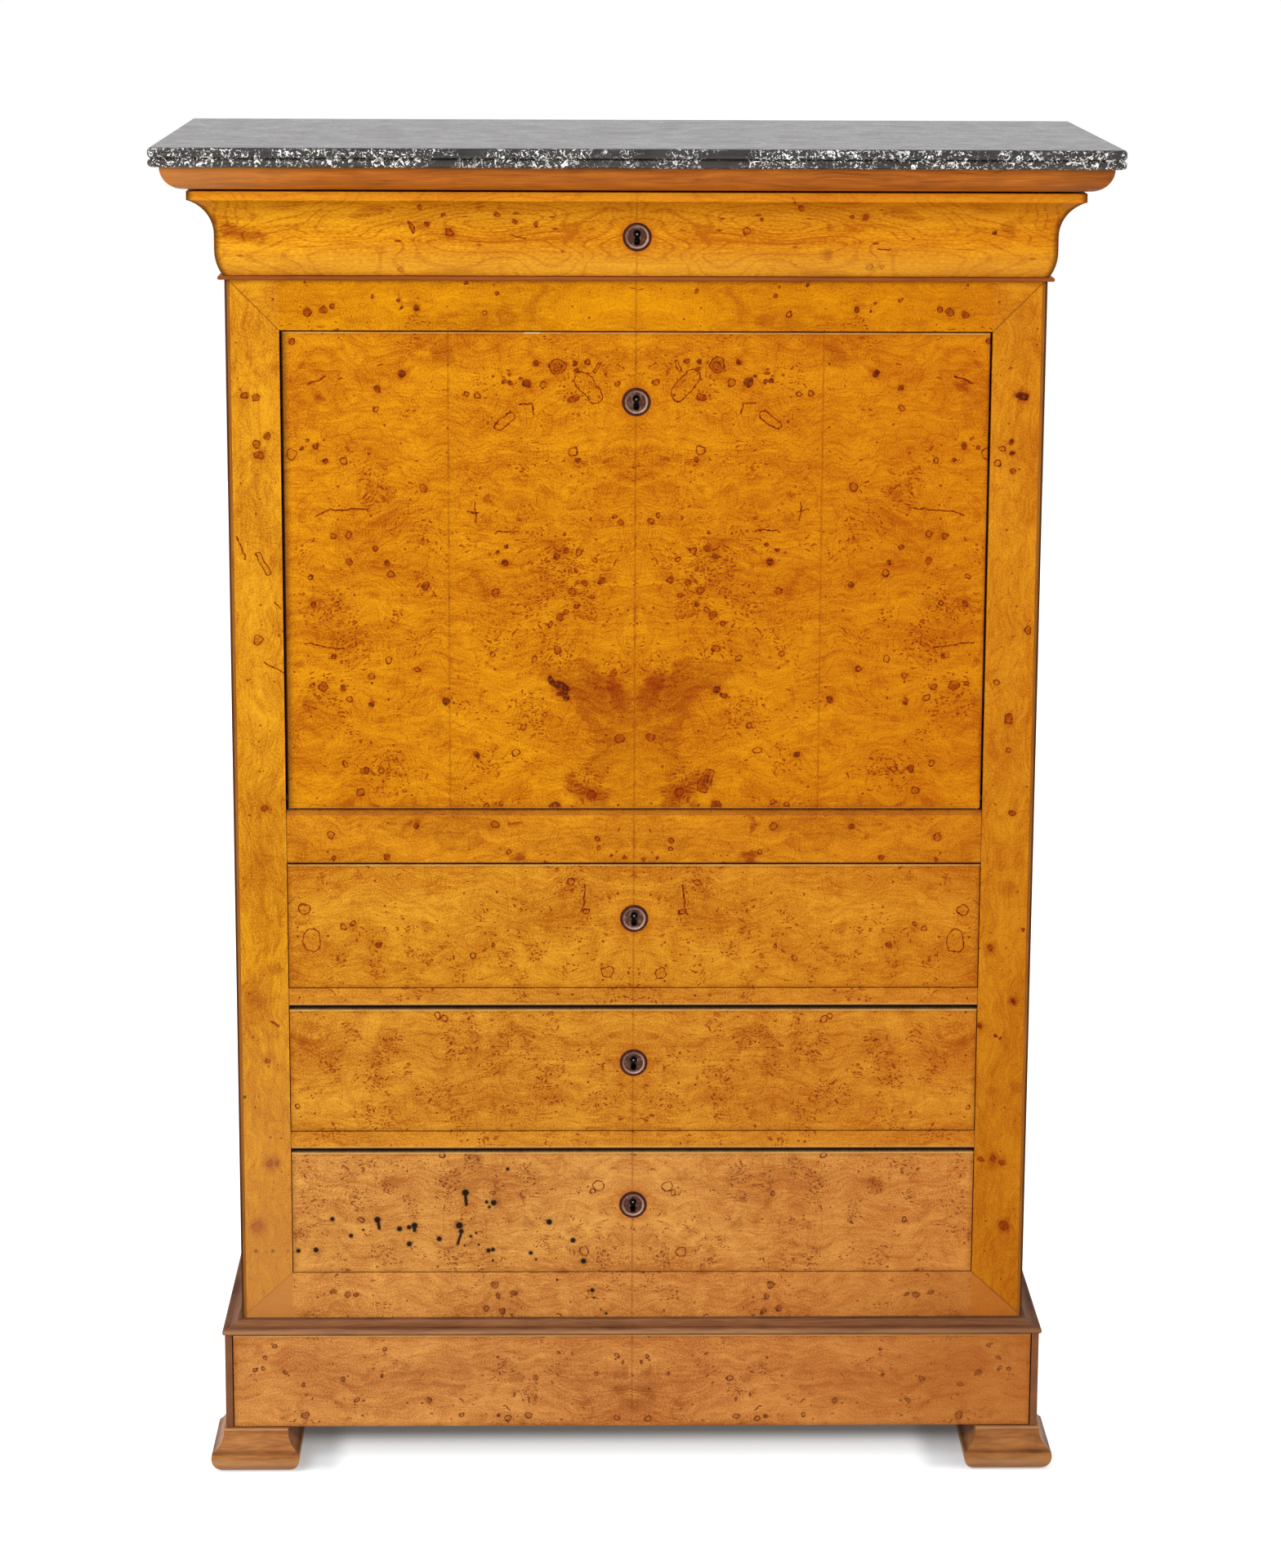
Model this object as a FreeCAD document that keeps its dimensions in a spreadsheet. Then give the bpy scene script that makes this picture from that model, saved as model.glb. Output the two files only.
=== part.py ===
import FreeCAD, Part
import math
import operator
import os
import Sketcher

# Fall-front secretary: a veneered cabinet with a writing fall, drawers above and below it, and a marble top.
# Millimetres, +Z up, the front faces -Y. The origin is on the floor, under the middle of the marble slab.

doc = FreeCAD.newDocument("FallFrontSecretary")
size_sheet = doc.addObject("Spreadsheet::Sheet", "Sizes")
place_sheet = doc.addObject("Spreadsheet::Sheet", "Places")
row_counts = {"Sizes": 0, "Places": 0}
nodes = []
X_AXIS = FreeCAD.Vector(1, 0, 0)
Y_AXIS = FreeCAD.Vector(0, 1, 0)
Z_AXIS = FreeCAD.Vector(0, 0, 1)
NEAR = 1e-6
HALF_ROOT = math.sqrt(0.5)
ARITHMETIC = {"+": operator.add, "-": operator.sub, "*": operator.mul, "/": operator.truediv}


class Length:
    """A length: its value now, and the expression on the sheets that gives it."""

    def __init__(self, text, value):
        self.text = text
        self.value = value

    def __add__(self, other):
        return joined(self, "+", other)

    def __radd__(self, other):
        return joined(other, "+", self)

    def __sub__(self, other):
        return joined(self, "-", other)

    def __rsub__(self, other):
        return joined(other, "-", self)

    def __mul__(self, other):
        return joined(self, "*", other)

    def __rmul__(self, other):
        return joined(other, "*", self)

    def __truediv__(self, other):
        return joined(self, "/", other)

    def __neg__(self):
        return joined(0, "-", self)


def as_length(number):
    """A plain number as a length, or the length itself."""
    if isinstance(number, Length):
        return number
    return Length(f"({float(number)!r})", float(number))


def joined(left, sign, right):
    """Two lengths worked into one."""
    left = as_length(left)
    right = as_length(right)
    return Length(f"({left.text} {sign} {right.text})", ARITHMETIC[sign](left.value, right.value))


def root(length):
    """The square root of a product of lengths."""
    return Length(f"sqrt({length.text})", math.sqrt(length.value))


def write_row(sheet, alias, content):
    """Write a name and its content on the next row of a sheet."""
    row_counts[sheet.Name] += 1
    row = row_counts[sheet.Name]
    sheet.set(f"A{row}", alias)
    sheet.set(f"B{row}", content)
    sheet.setAlias(f"B{row}", alias)


def size(alias, value):
    """A driving size, written once."""
    write_row(size_sheet, alias, str(value))
    return Length(f"Sizes.{alias}", float(value))


def place(alias, length):
    """A level or a plane that follows from the driving sizes."""
    write_row(place_sheet, alias, "=" + length.text)
    return Length(f"Places.{alias}", length.value)


# Driving sizes: the carcass and its heights, from the floor up
carcass_width = size("carcass_width", 890)
carcass_depth = size("carcass_depth", 407)
foot_height = size("foot_height", 51)
plinth_height = size("plinth_height", 112.5)
base_height = size("base_height", 13.5)
bottom_rail_height = size("bottom_rail_height", 53.4)
drawer_height = size("drawer_height", 142.6)
drawer_gap_under = size("drawer_gap_under", 0.7)
drawer_gap_over = size("drawer_gap_over", 5)
first_drawer_gap_over = size("first_drawer_gap_over", 1.7)
drawer_rail_height = size("drawer_rail_height", 20)
mid_rail_height = size("mid_rail_height", 60.5)
fall_opening_height = size("fall_opening_height", 535.2)
top_rail_height = size("top_rail_height", 59.3)
frieze_gap_under = size("frieze_gap_under", 0.5)
frieze_height = size("frieze_height", 92.5)
frieze_gap_over = size("frieze_gap_over", 2.5)
cornice_height = size("cornice_height", 25.5)
marble_thickness = size("marble_thickness", 21)

# Driving sizes: how far each moulding stands out from the carcass faces
marble_overhang = size("marble_overhang", 73)
marble_lower_bead = size("marble_lower_bead", 9.4)
marble_bead_round = size("marble_bead_round", 4.5)
marble_corner_round = size("marble_corner_round", 7)
cornice_out_top = size("cornice_out_top", 61.5)
cornice_out_foot = size("cornice_out_foot", 37)
frieze_out_top = size("frieze_out_top", 36)
frieze_fillet = size("frieze_fillet", 9.5)
frieze_step = size("frieze_step", 1.1)
frieze_out_waist = size("frieze_out_waist", 9.6)
frieze_cove_height = size("frieze_cove_height", 38.5)
frieze_swell_height = size("frieze_swell_height", 27.5)
frieze_out_foot = size("frieze_out_foot", 1.8)
bead_height = size("bead_height", 4.3)
bead_out = size("bead_out", 5.5)
bead_round = size("bead_round", 2.3)
base_out = size("base_out", 20)
base_nose_height = size("base_nose_height", 7.5)
base_nose_round = size("base_nose_round", 5)
base_out_cove = size("base_out_cove", 19)
base_out_top = size("base_out_top", 4)
base_cove_round = size("base_cove_round", 15)
base_strip_inner = size("base_strip_inner", 60)
plinth_out = size("plinth_out", 18.5)
foot_out = size("foot_out", 21.2)
foot_width = size("foot_width", 73)
foot_length = size("foot_length", 90)
foot_fillet = size("foot_fillet", 2.5)
foot_crease_height = size("foot_crease_height", 25)
foot_crease_out = size("foot_crease_out", 13)
foot_cove_round = size("foot_cove_round", 26)
foot_toe_in = size("foot_toe_in", 6)
foot_round = size("foot_round", 20)
rear_foot_length = size("rear_foot_length", 90)

# Driving sizes: boards
post_width = size("post_width", 58)
frame_thickness = size("frame_thickness", 26)
corner_strip = size("corner_strip", 5.4)
side_thickness = size("side_thickness", 20)
back_frame_thickness = size("back_frame_thickness", 12)
back_frame_width = size("back_frame_width", 90)
back_panel_thickness = size("back_panel_thickness", 8)
frieze_floor_thickness = size("frieze_floor_thickness", 16)
desk_floor_thickness = size("desk_floor_thickness", 22)
dust_board_thickness = size("dust_board_thickness", 8)
carcass_bottom_thickness = size("carcass_bottom_thickness", 18)
runner_width = size("runner_width", 68)
guide_height = size("guide_height", 25)
guide_clearance = size("guide_clearance", 0.6)
lining_thickness = size("lining_thickness", 12)
plinth_side_thickness = size("plinth_side_thickness", 18)
plinth_side_lip = size("plinth_side_lip", 8)
plinth_front_thickness = size("plinth_front_thickness", 20)
plinth_gap = size("plinth_gap", 1.2)
plinth_runner_width = size("plinth_runner_width", 40)
plinth_runner_height = size("plinth_runner_height", 10)

# Driving sizes: drawers
front_recess = size("front_recess", 0.5)
front_side_gap = size("front_side_gap", 0.8)
front_thickness = size("front_thickness", 24)
front_edge_round = size("front_edge_round", 1.2)
drawer_back_gap = size("drawer_back_gap", 16.5)
drawer_side_thickness = size("drawer_side_thickness", 12)
drawer_bottom_thickness = size("drawer_bottom_thickness", 8)
drawer_bottom_rise = size("drawer_bottom_rise", 6)
drawer_side_drop = size("drawer_side_drop", 14)
drawer_box_clearance = size("drawer_box_clearance", 1.2)
mitre_gap = size("mitre_gap", 0.6)

# Driving sizes: fall, its pivots and its leather
fall_thickness = size("fall_thickness", 25)
fall_side_gap = size("fall_side_gap", 1.8)
fall_head_gap = size("fall_head_gap", 1.8)
fall_foot_gap = size("fall_foot_gap", 1.9)
fall_edge_round = size("fall_edge_round", 3)
fall_foot_round = size("fall_foot_round", 2.5)
pivot_set_back = size("pivot_set_back", 8)
pivot_rise = size("pivot_rise", 12)
mid_rail_round = size("mid_rail_round", 6)
swing_clearance = size("swing_clearance", 0.8)
pin_radius = size("pin_radius", 4)
pin_length = size("pin_length", 8)
pin_clearance = size("pin_clearance", 0.05)
pivot_plate_thickness = size("pivot_plate_thickness", 4)
pivot_plate_width = size("pivot_plate_width", 14)
pivot_plate_height = size("pivot_plate_height", 60)
lever_thickness = size("lever_thickness", 8)
lever_eye_radius = size("lever_eye_radius", 7)
lever_width = size("lever_width", 9)
lever_offset = size("lever_offset", 3)
lever_arm = size("lever_arm", 110)
lever_tail = size("lever_tail", 54)
lever_clearance = size("lever_clearance", 0.6)
lever_tail_room = size("lever_tail_room", 9)
leather_thickness = size("leather_thickness", 1.5)
leather_margin = size("leather_margin", 60)
leather_below_key = size("leather_below_key", 32)

# Driving sizes: locks and escutcheons
key_drop_frieze = size("key_drop_frieze", 49.5)
key_drop_fall = size("key_drop_fall", 75.7)
key_drop_drawer = size("key_drop_drawer", 62)
escutcheon_radius = size("escutcheon_radius", 15.5)
escutcheon_plate = size("escutcheon_plate", 0.8)
escutcheon_let_in = size("escutcheon_let_in", 1)
escutcheon_rim_width = size("escutcheon_rim_width", 4)
escutcheon_rim_round = size("escutcheon_rim_round", 2.3)
keyhole_radius = size("keyhole_radius", 3.8)
keyhole_slot_width = size("keyhole_slot_width", 5)
keyhole_slot_drop = size("keyhole_slot_drop", 11.2)
keyhole_rise = size("keyhole_rise", 2.8)
lock_pin_radius = size("lock_pin_radius", 1.9)
lock_width = size("lock_width", 56)
lock_depth = size("lock_depth", 9)
lock_below_key = size("lock_below_key", 16)
bolt_width = size("bolt_width", 18)
bolt_thickness = size("bolt_thickness", 5)
bolt_height = size("bolt_height", 26)
bolt_travel = size("bolt_travel", 9)
bolt_clearance = size("bolt_clearance", 0.3)
mortise_clearance = size("mortise_clearance", 1)

# Driving sizes: inner fittings of the desk
fitting_thickness = size("fitting_thickness", 8)
fitting_set_back = size("fitting_set_back", 124)
centre_bay_width = size("centre_bay_width", 250)
small_drawer_opening = size("small_drawer_opening", 62)
pigeonhole_height = size("pigeonhole_height", 155)
small_drawer_gap = size("small_drawer_gap", 0.8)
small_front_thickness = size("small_front_thickness", 10)
small_side_thickness = size("small_side_thickness", 6)
small_bottom_thickness = size("small_bottom_thickness", 5)
small_side_drop = size("small_side_drop", 8)
knob_radius = size("knob_radius", 8)
knob_length = size("knob_length", 14)
knob_neck_radius = size("knob_neck_radius", 4)
knob_neck_length = size("knob_neck_length", 5)
knob_collar = size("knob_collar", 2)
knob_face_radius = size("knob_face_radius", 3)
knob_round = size("knob_round", 8)

# Planes from front to back and out to the sides
half_width = place("half_width", carcass_width / 2)
front_plane = place("front_plane", (marble_overhang - carcass_depth) / 2)
back_plane = place("back_plane", (marble_overhang + carcass_depth) / 2)
frame_back = place("frame_back", front_plane + frame_thickness)
inner_back = place("inner_back", back_plane - back_frame_thickness - back_panel_thickness)
opening_half = place("opening_half", half_width - post_width)
inner_half = place("inner_half", half_width - side_thickness)
front_face = place("front_face", front_plane + front_recess)
front_back_face = place("front_back_face", front_face + front_thickness)

# Levels from the floor up
plinth_top = place("plinth_top", foot_height + plinth_height)
base_top = place("base_top", plinth_top + base_height)
third_sill = place("third_sill", base_top + bottom_rail_height)
drawer_opening = place("drawer_opening", drawer_gap_under + drawer_height + drawer_gap_over)
third_head = place("third_head", third_sill + drawer_opening)
second_sill = place("second_sill", third_head + drawer_rail_height)
second_head = place("second_head", second_sill + drawer_opening)
first_sill = place("first_sill", second_head + drawer_rail_height)
first_head = place("first_head", first_sill + drawer_gap_under + drawer_height + first_drawer_gap_over)
fall_sill = place("fall_sill", first_head + mid_rail_height)
fall_head = place("fall_head", fall_sill + fall_opening_height)
frieze_sill = place("frieze_sill", fall_head + top_rail_height)
frieze_foot = place("frieze_foot", frieze_sill + frieze_gap_under)
frieze_top = place("frieze_top", frieze_foot + frieze_height)
cornice_foot = place("cornice_foot", frieze_top + frieze_gap_over)
cornice_top = place("cornice_top", cornice_foot + cornice_height)
overall_height = place("overall_height", cornice_top + marble_thickness)

# The fall's pivot, and the desk floor that lies level with the open fall
fall_foot = place("fall_foot", fall_sill + fall_foot_gap)
fall_top = place("fall_top", fall_head - fall_head_gap)
fall_half = place("fall_half", opening_half - fall_side_gap)
fall_inner_face = place("fall_inner_face", front_face + fall_thickness)
pivot_y = place("pivot_y", front_face + pivot_set_back)
pivot_z = place("pivot_z", fall_foot + pivot_rise)
fall_behind_pivot = place("fall_behind_pivot", fall_thickness - pivot_set_back)
desk_top = place("desk_top", pivot_z + fall_behind_pivot)
desk_underside = place("desk_underside", desk_top - desk_floor_thickness)
frieze_floor_foot = place("frieze_floor_foot", frieze_sill - frieze_floor_thickness)


def bind(obj, **expressions):
    """Tie properties of an object to lengths; a double underscore stands for a dot."""
    for name, length in expressions.items():
        obj.setExpression(name.replace("__", "."), as_length(length).text)
    return obj


def bind_base(obj, x=0, y=0, z=0):
    """Tie an object's position to lengths."""
    return bind(obj, Placement__Base__x=x, Placement__Base__y=y, Placement__Base__z=z)


def turn(obj, axis, degrees):
    """Turn an object about an axis through its own origin."""
    obj.Placement = FreeCAD.Placement(FreeCAD.Vector(), FreeCAD.Rotation(axis, degrees))
    return obj


def add(kind, label):
    """A new object of the document under its own label."""
    obj = doc.addObject(kind, label)
    obj.Label = label
    return obj


def board(label, x, y, z):
    """A plain board between two planes on each axis."""
    box = add("Part::Box", label)
    bind(box, Length=x[1] - x[0], Width=y[1] - y[0], Height=z[1] - z[0])
    return bind_base(box, x[0], y[0], z[0])


def rod(label, radius, length, base, axis):
    """A round rod or bore from a base point along X or Y."""
    cylinder = add("Part::Cylinder", label)
    if axis == "x":
        turn(cylinder, Y_AXIS, 90)
    else:
        turn(cylinder, X_AXIS, -90)
    bind(cylinder, Radius=radius, Height=length)
    return bind_base(cylinder, *base)


def cut(label, base, *tools):
    """A piece with one or more tools cut out of it."""
    for count, tool in enumerate(tools, 1):
        result = add("Part::Cut", label if count == len(tools) else f"{label}_cut_{count}")
        result.Base = base
        result.Tool = tool
        base = result
    return base


def fuse(label, *members):
    """Several solids grown into one piece."""
    result = add("Part::MultiFuse", label)
    result.Shapes = list(members)
    result.Refine = True
    return result


def common(label, base, tool):
    """What two solids share."""
    result = add("Part::Common", label)
    result.Base = base
    result.Tool = tool
    return result


def mirrored(label, source):
    """The same piece on the other side of the middle plane."""
    result = add("Part::Mirroring", label)
    result.Source = source
    result.Normal = X_AXIS
    return result


def group(label, *members):
    """Separate solids kept together in one node."""
    result = add("Part::Compound", label)
    result.Links = list(members)
    return result


def pair(label, left):
    """A piece and its twin on the other side, as one node."""
    return node(group(label, left, mirrored(label + "_twin", left)))


def node(obj):
    """Mark an object as a finished piece of the secretary."""
    nodes.append(obj)
    return obj


def arc_between(start, end, radius):
    """An arc under a half circle. It bulges to the right of travel, or to the left if negative."""
    chord = end - start
    left = FreeCAD.Vector(-chord.y, chord.x, 0).normalize()
    rise = math.sqrt(radius ** 2 - (chord.Length / 2) ** 2)
    centre = (start + end) * 0.5 + left * math.copysign(rise, radius)
    circle = Part.Circle(centre, Z_AXIS, abs(radius))
    angles = [math.atan2(point.y - centre.y, point.x - centre.x) for point in (start, end)]
    if radius > 0:
        return Part.ArcOfCircle(circle, angles[0], angles[1]), 1, 2
    return Part.ArcOfCircle(circle, angles[1], angles[0]), 2, 1


def draw(body, plane, outline):
    """A closed sketch with tied corners. A third entry makes the side that starts there an arc."""
    sketch = body.newObject("Sketcher::SketchObject", body.Name + "_outline")
    sketch.AttachmentSupport = ([face for face in body.Origin.OriginFeatures if face.Role == plane][0], "")
    sketch.MapMode = "FlatFace"
    corners = [[as_length(entry) for entry in corner] for corner in outline]
    points = [FreeCAD.Vector(corner[0].value, corner[1].value, 0) for corner in corners]
    ends = []
    for index, corner in enumerate(corners):
        start = points[index]
        end = points[(index + 1) % len(points)]
        if len(corner) == 3:
            side, first, last = arc_between(start, end, corner[2].value)
        else:
            side, first, last = Part.LineSegment(start, end), 1, 2
        sketch.addGeometry(side, False)
        ends.append((first, last))
    for index, corner in enumerate(corners):
        following = (index + 1) % len(corners)
        first, last = ends[index]
        sketch.addConstraint(Sketcher.Constraint("Coincident", index, last, following, ends[following][0]))
        across = Sketcher.Constraint("DistanceX", -1, 1, index, first, corner[0].value)
        tie(sketch, across, f"across_{index}", corner[0])
        up = Sketcher.Constraint("DistanceY", -1, 1, index, first, corner[1].value)
        tie(sketch, up, f"up_{index}", corner[1])
        if len(corner) == 3:
            radius = Length(f"abs({corner[2].text})", abs(corner[2].value))
            tie(sketch, Sketcher.Constraint("Radius", index, radius.value), f"round_{index}", radius)
    return sketch


def tie(sketch, constraint, name, length):
    """Add a named constraint to a sketch and tie it to a length."""
    sketch.renameConstraint(sketch.addConstraint(constraint), name)
    sketch.setExpression("Constraints." + name, length.text)


def padded(label, plane, outline, length, symmetric=False):
    """A body grown from an outline; a plain pad on XZ_Plane grows towards the front."""
    body = add("PartDesign::Body", label)
    pad = body.newObject("PartDesign::Pad", label + "_pad")
    pad.Profile = draw(body, plane, outline)
    pad.SideType = "Symmetric" if symmetric else "One side"
    bind(pad, Length=length)
    body.Tip = pad
    return body


def turned(label, outline):
    """A body turned on a lathe about Y; the outline gives places along Y and radii."""
    body = add("PartDesign::Body", label)
    sketch = draw(body, "YZ_Plane", outline)
    turning = body.newObject("PartDesign::Revolution", label + "_turning")
    turning.Profile = sketch
    turning.ReferenceAxis = (sketch, ["H_Axis"])
    turning.Angle = 360
    body.Tip = turning
    return body


def soften(body, radius, wanted):
    """Round the edges of a body that the test picks out."""
    doc.recompute()
    base = body.Tip
    names = [f"Edge{number}" for number, edge in enumerate(base.Shape.Edges, 1) if wanted(edge)]
    fillet = body.newObject("PartDesign::Fillet", f"{body.Name}_round_{len(body.Group)}")
    fillet.Base = (base, names)
    bind(fillet, Radius=radius)
    body.Tip = fillet
    return body


def rectangle(across, up):
    """The outline of a rectangle."""
    return [(across[0], up[0]), (across[1], up[0]), (across[1], up[1]), (across[0], up[1])]


def front_board(label, half, y, z, edge_round):
    """A drawer front with softened front edges."""
    body = padded(label, "XZ_Plane", rectangle((-half, half), z), y[1] - y[0])
    bind_base(body, y=y[1])
    face = (y[0] - y[1]).value
    return soften(body, edge_round, lambda edge: edge.BoundBox.YMax < face + NEAR)


def tangent_round(across, along):
    """The radius of an arc that starts along a straight and ends this far across and along."""
    return (across * across + along * along) / (across * 2)


# Marble slab: two bead-edged layers, flush at the back
def marble_layer(label, low, high):
    """One layer of the slab, rounded on its front and side edges."""
    half = half_width + marble_overhang
    face = front_plane - marble_overhang
    body = padded(label, "XY_Plane", rectangle((-half, half), (face, back_plane)), high - low)
    bind_base(body, z=low)
    soften(body, marble_corner_round,
           lambda edge: edge.BoundBox.ZLength > NEAR and edge.BoundBox.YMax < face.value + NEAR)
    return soften(body, marble_bead_round,
                  lambda edge: edge.BoundBox.ZLength < NEAR and edge.BoundBox.YMin < back_plane.value - NEAR)


marble_groove = place("marble_groove", cornice_top + marble_lower_bead)
node(fuse("marble_top", marble_layer("marble_lower_layer", cornice_top, marble_groove),
          marble_layer("marble_upper_layer", marble_groove, overall_height)))


# Mouldings: a front length and two side returns, mitred at the corners
def mitre_tool(label, ease):
    """A block over everything beyond the right-hand mitre, drawn back by an ease."""
    tool = turn(add("Part::Box", label), Z_AXIS, 45)
    bind(tool, Length=carcass_depth * 2, Width=carcass_depth * 2, Height=overall_height)
    reach = carcass_depth * HALF_ROOT
    slip = as_length(ease) * HALF_ROOT
    return bind_base(tool, half_width + reach - slip, front_plane - reach - slip)


mitre_right = mitre_tool("mitre_right", 0)
mitre_left = mirrored("mitre_left", mitre_right)


def moulding_length(label, outline, length):
    """A straight length of moulding; the outline has the carcass face at zero and grows outwards to minus."""
    return padded(label, "YZ_Plane", outline, length, symmetric=True)


def right_return(label, outline, out):
    """The return of a moulding along the right-hand side."""
    blank = turn(moulding_length(label + "_blank", outline, carcass_depth + out), Z_AXIS, 90)
    bind_base(blank, half_width, (front_plane - out + back_plane) / 2)
    return common(label, blank, mitre_right)


def mitred_front(label, outline, out, right_tool, left_tool):
    """The front length of a moulding, mitred at both ends."""
    blank = moulding_length(label + "_blank", outline, carcass_width + out * 2)
    bind_base(blank, y=front_plane)
    return cut(label, blank, right_tool, left_tool)


def moulding(label, outline, out):
    """The front length and both returns of a fixed moulding."""
    right = right_return(label + "_right", outline, out)
    front = mitred_front(label + "_front", outline, out, mitre_right, mitre_left)
    return front, right, mirrored(label + "_left", right)


cornice_outline = [
    (0, cornice_foot),
    (0, cornice_top),
    (-cornice_out_top, cornice_top, tangent_round(cornice_out_top - cornice_out_foot, cornice_height)),
    (-cornice_out_foot, cornice_foot),
]
node(group("cornice_moulding", *moulding("cornice", cornice_outline, cornice_out_top)))

bead_foot = place("bead_foot", frieze_sill - bead_height)
bead_outline = [
    (0, bead_foot),
    (0, frieze_sill),
    (-bead_out, frieze_sill, bead_round),
    (-bead_out, bead_foot),
]
node(group("frieze_bead", *moulding("bead", bead_outline, bead_out + bead_round)))

base_outline = [
    (base_strip_inner, plinth_top),
    (base_strip_inner, base_top),
    (-base_out_top, base_top, -base_cove_round),
    (-base_out_cove, plinth_top + base_nose_height, base_nose_round),
    (-base_out, plinth_top),
]
base_rear_rail = board("base_rear_rail", (base_strip_inner - half_width, half_width - base_strip_inner),
                       (back_plane - base_strip_inner, back_plane), (plinth_top, base_top))
node(group("base_moulding", *moulding("base", base_outline, base_out + base_nose_round), base_rear_rail))


def frieze_outline(back):
    """The cyma of the frieze: fillet, cove, straight waist and a slight swell at the foot."""
    cove_top = frieze_top - frieze_fillet
    lip = frieze_out_top - frieze_step
    cove_round = tangent_round(lip - frieze_out_waist, frieze_cove_height)
    swell_round = tangent_round(frieze_out_waist - frieze_out_foot, frieze_swell_height)
    return [
        (back, frieze_foot),
        (back, frieze_top),
        (-frieze_out_top, frieze_top),
        (-frieze_out_top, cove_top),
        (-lip, cove_top, -cove_round),
        (-frieze_out_waist, cove_top - frieze_cove_height),
        (-frieze_out_waist, frieze_foot + frieze_swell_height, swell_round),
        (-frieze_out_foot, frieze_foot),
    ]


pair("frieze_returns", right_return("frieze_return_right", frieze_outline(0), frieze_out_top))


# Locks: a round escutcheon let into the face, a lock let into the back, and a bolt that rises from its top
def lock_set(label, face, back, key, top):
    """Make the three pieces of a lock. Returns the tools that seat them, and the bolt's mortise."""
    bolt_front = back - (lock_depth + bolt_thickness) / 2
    bolt_back = bolt_front + bolt_thickness
    bolt_half = bolt_width / 2
    lock_front = back - lock_depth
    bore_length = lock_front - face + escutcheon_radius
    hole = key + keyhole_rise
    bore = rod(label + "_keyhole", keyhole_radius, bore_length, (0, face - escutcheon_radius, hole), "y")
    slot = board(label + "_keyhole_slot", (-keyhole_slot_width / 2, keyhole_slot_width / 2),
                 (face - escutcheon_radius, lock_front), (hole - keyhole_slot_drop, hole))
    seat = rod(label + "_escutcheon_seat", escutcheon_radius, escutcheon_radius + escutcheon_let_in,
               (0, face - escutcheon_radius, key), "y")
    plate = turned(label + "_escutcheon_plate", [
        (escutcheon_let_in, 0),
        (escutcheon_let_in, escutcheon_radius),
        (-escutcheon_plate, escutcheon_radius, escutcheon_rim_round),
        (-escutcheon_plate, escutcheon_radius - escutcheon_rim_width),
        (-escutcheon_plate, 0),
    ])
    bind_base(plate, y=face, z=key)
    node(cut(label + "_escutcheon", plate, bore, slot))

    case = board(label + "_lock_case", (-lock_width / 2, lock_width / 2), (lock_front, back),
                 (key - lock_below_key, top))
    channel = board(label + "_bolt_channel", (-bolt_half - bolt_clearance, bolt_half + bolt_clearance),
                    (bolt_front - bolt_clearance, bolt_back + bolt_clearance),
                    (top - bolt_height - bolt_clearance, top + bolt_clearance))
    pin = rod(label + "_lock_pin", lock_pin_radius, lock_front - face, (0, face, hole), "y")
    node(fuse(label + "_lock", cut(label + "_lock_body", case, channel), pin))
    node(board(label + "_bolt", (-bolt_half, bolt_half), (bolt_front, bolt_back),
               (top - bolt_height, top - bolt_clearance)))

    mortise = board(label + "_mortise", (-bolt_half - mortise_clearance, bolt_half + mortise_clearance),
                    (bolt_front - mortise_clearance, bolt_back + mortise_clearance),
                    (top, top + bolt_travel + mortise_clearance))
    return [seat, bore, slot, case], mortise


def drawer_box(label, half, y, z, side, bottom, rise):
    """The sides, back and bottom of a drawer as separate boards."""
    right = board(label + "_side_right", (half - side, half), y, z)
    back = board(label + "_back", (side - half, half - side), (y[1] - side, y[1]), z)
    floor = board(label + "_bottom", (side - half, half - side), (y[0], y[1] - side),
                  (z[0] + rise, z[0] + rise + bottom))
    return node(group(label + "_box", right, mirrored(label + "_side_left", right), back, floor))


# Long drawers
box_half = place("box_half", opening_half - drawer_box_clearance)
front_half = place("front_half", opening_half - front_side_gap)
box_end = place("box_end", inner_back - drawer_back_gap)
drawer_mortises = {}
for name, sill in (("drawer_1", first_sill), ("drawer_2", second_sill), ("drawer_3", third_sill)):
    foot = place(name + "_foot", sill + drawer_gap_under)
    top = place(name + "_top", foot + drawer_height)
    blank = front_board(name + "_blank", front_half, (front_face, front_back_face), (foot, top),
                        front_edge_round)
    seats, drawer_mortises[name] = lock_set(name, front_face, front_back_face, top - key_drop_drawer, top)
    node(cut(name + "_front", blank, *seats))
    drawer_box(name, box_half, (front_back_face, box_end), (foot, top - drawer_side_drop),
               drawer_side_thickness, drawer_bottom_thickness, drawer_bottom_rise)

# Frieze drawer: its cyma front laps the posts and is mitred to the side returns
eased_mitre_right = mitre_tool("eased_mitre_right", mitre_gap)
eased_mitre_left = mirrored("eased_mitre_left", eased_mitre_right)
frieze_face = mitred_front("frieze_face", frieze_outline(-mitre_gap), frieze_out_top,
                           eased_mitre_right, eased_mitre_left)
frieze_tongue = board("frieze_tongue", (-front_half, front_half), (front_plane - mitre_gap, front_back_face),
                      (frieze_foot, frieze_top))
frieze_seats, frieze_mortise = lock_set("frieze_drawer", front_plane - frieze_out_waist, front_back_face,
                                        frieze_top - key_drop_frieze, frieze_top)
node(cut("frieze_drawer_front", fuse("frieze_drawer_blank", frieze_face, frieze_tongue), *frieze_seats))
drawer_box("frieze_drawer", box_half, (front_back_face, box_end),
           (frieze_foot, frieze_top - drawer_side_drop),
           drawer_side_thickness, drawer_bottom_thickness, drawer_bottom_rise)

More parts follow.
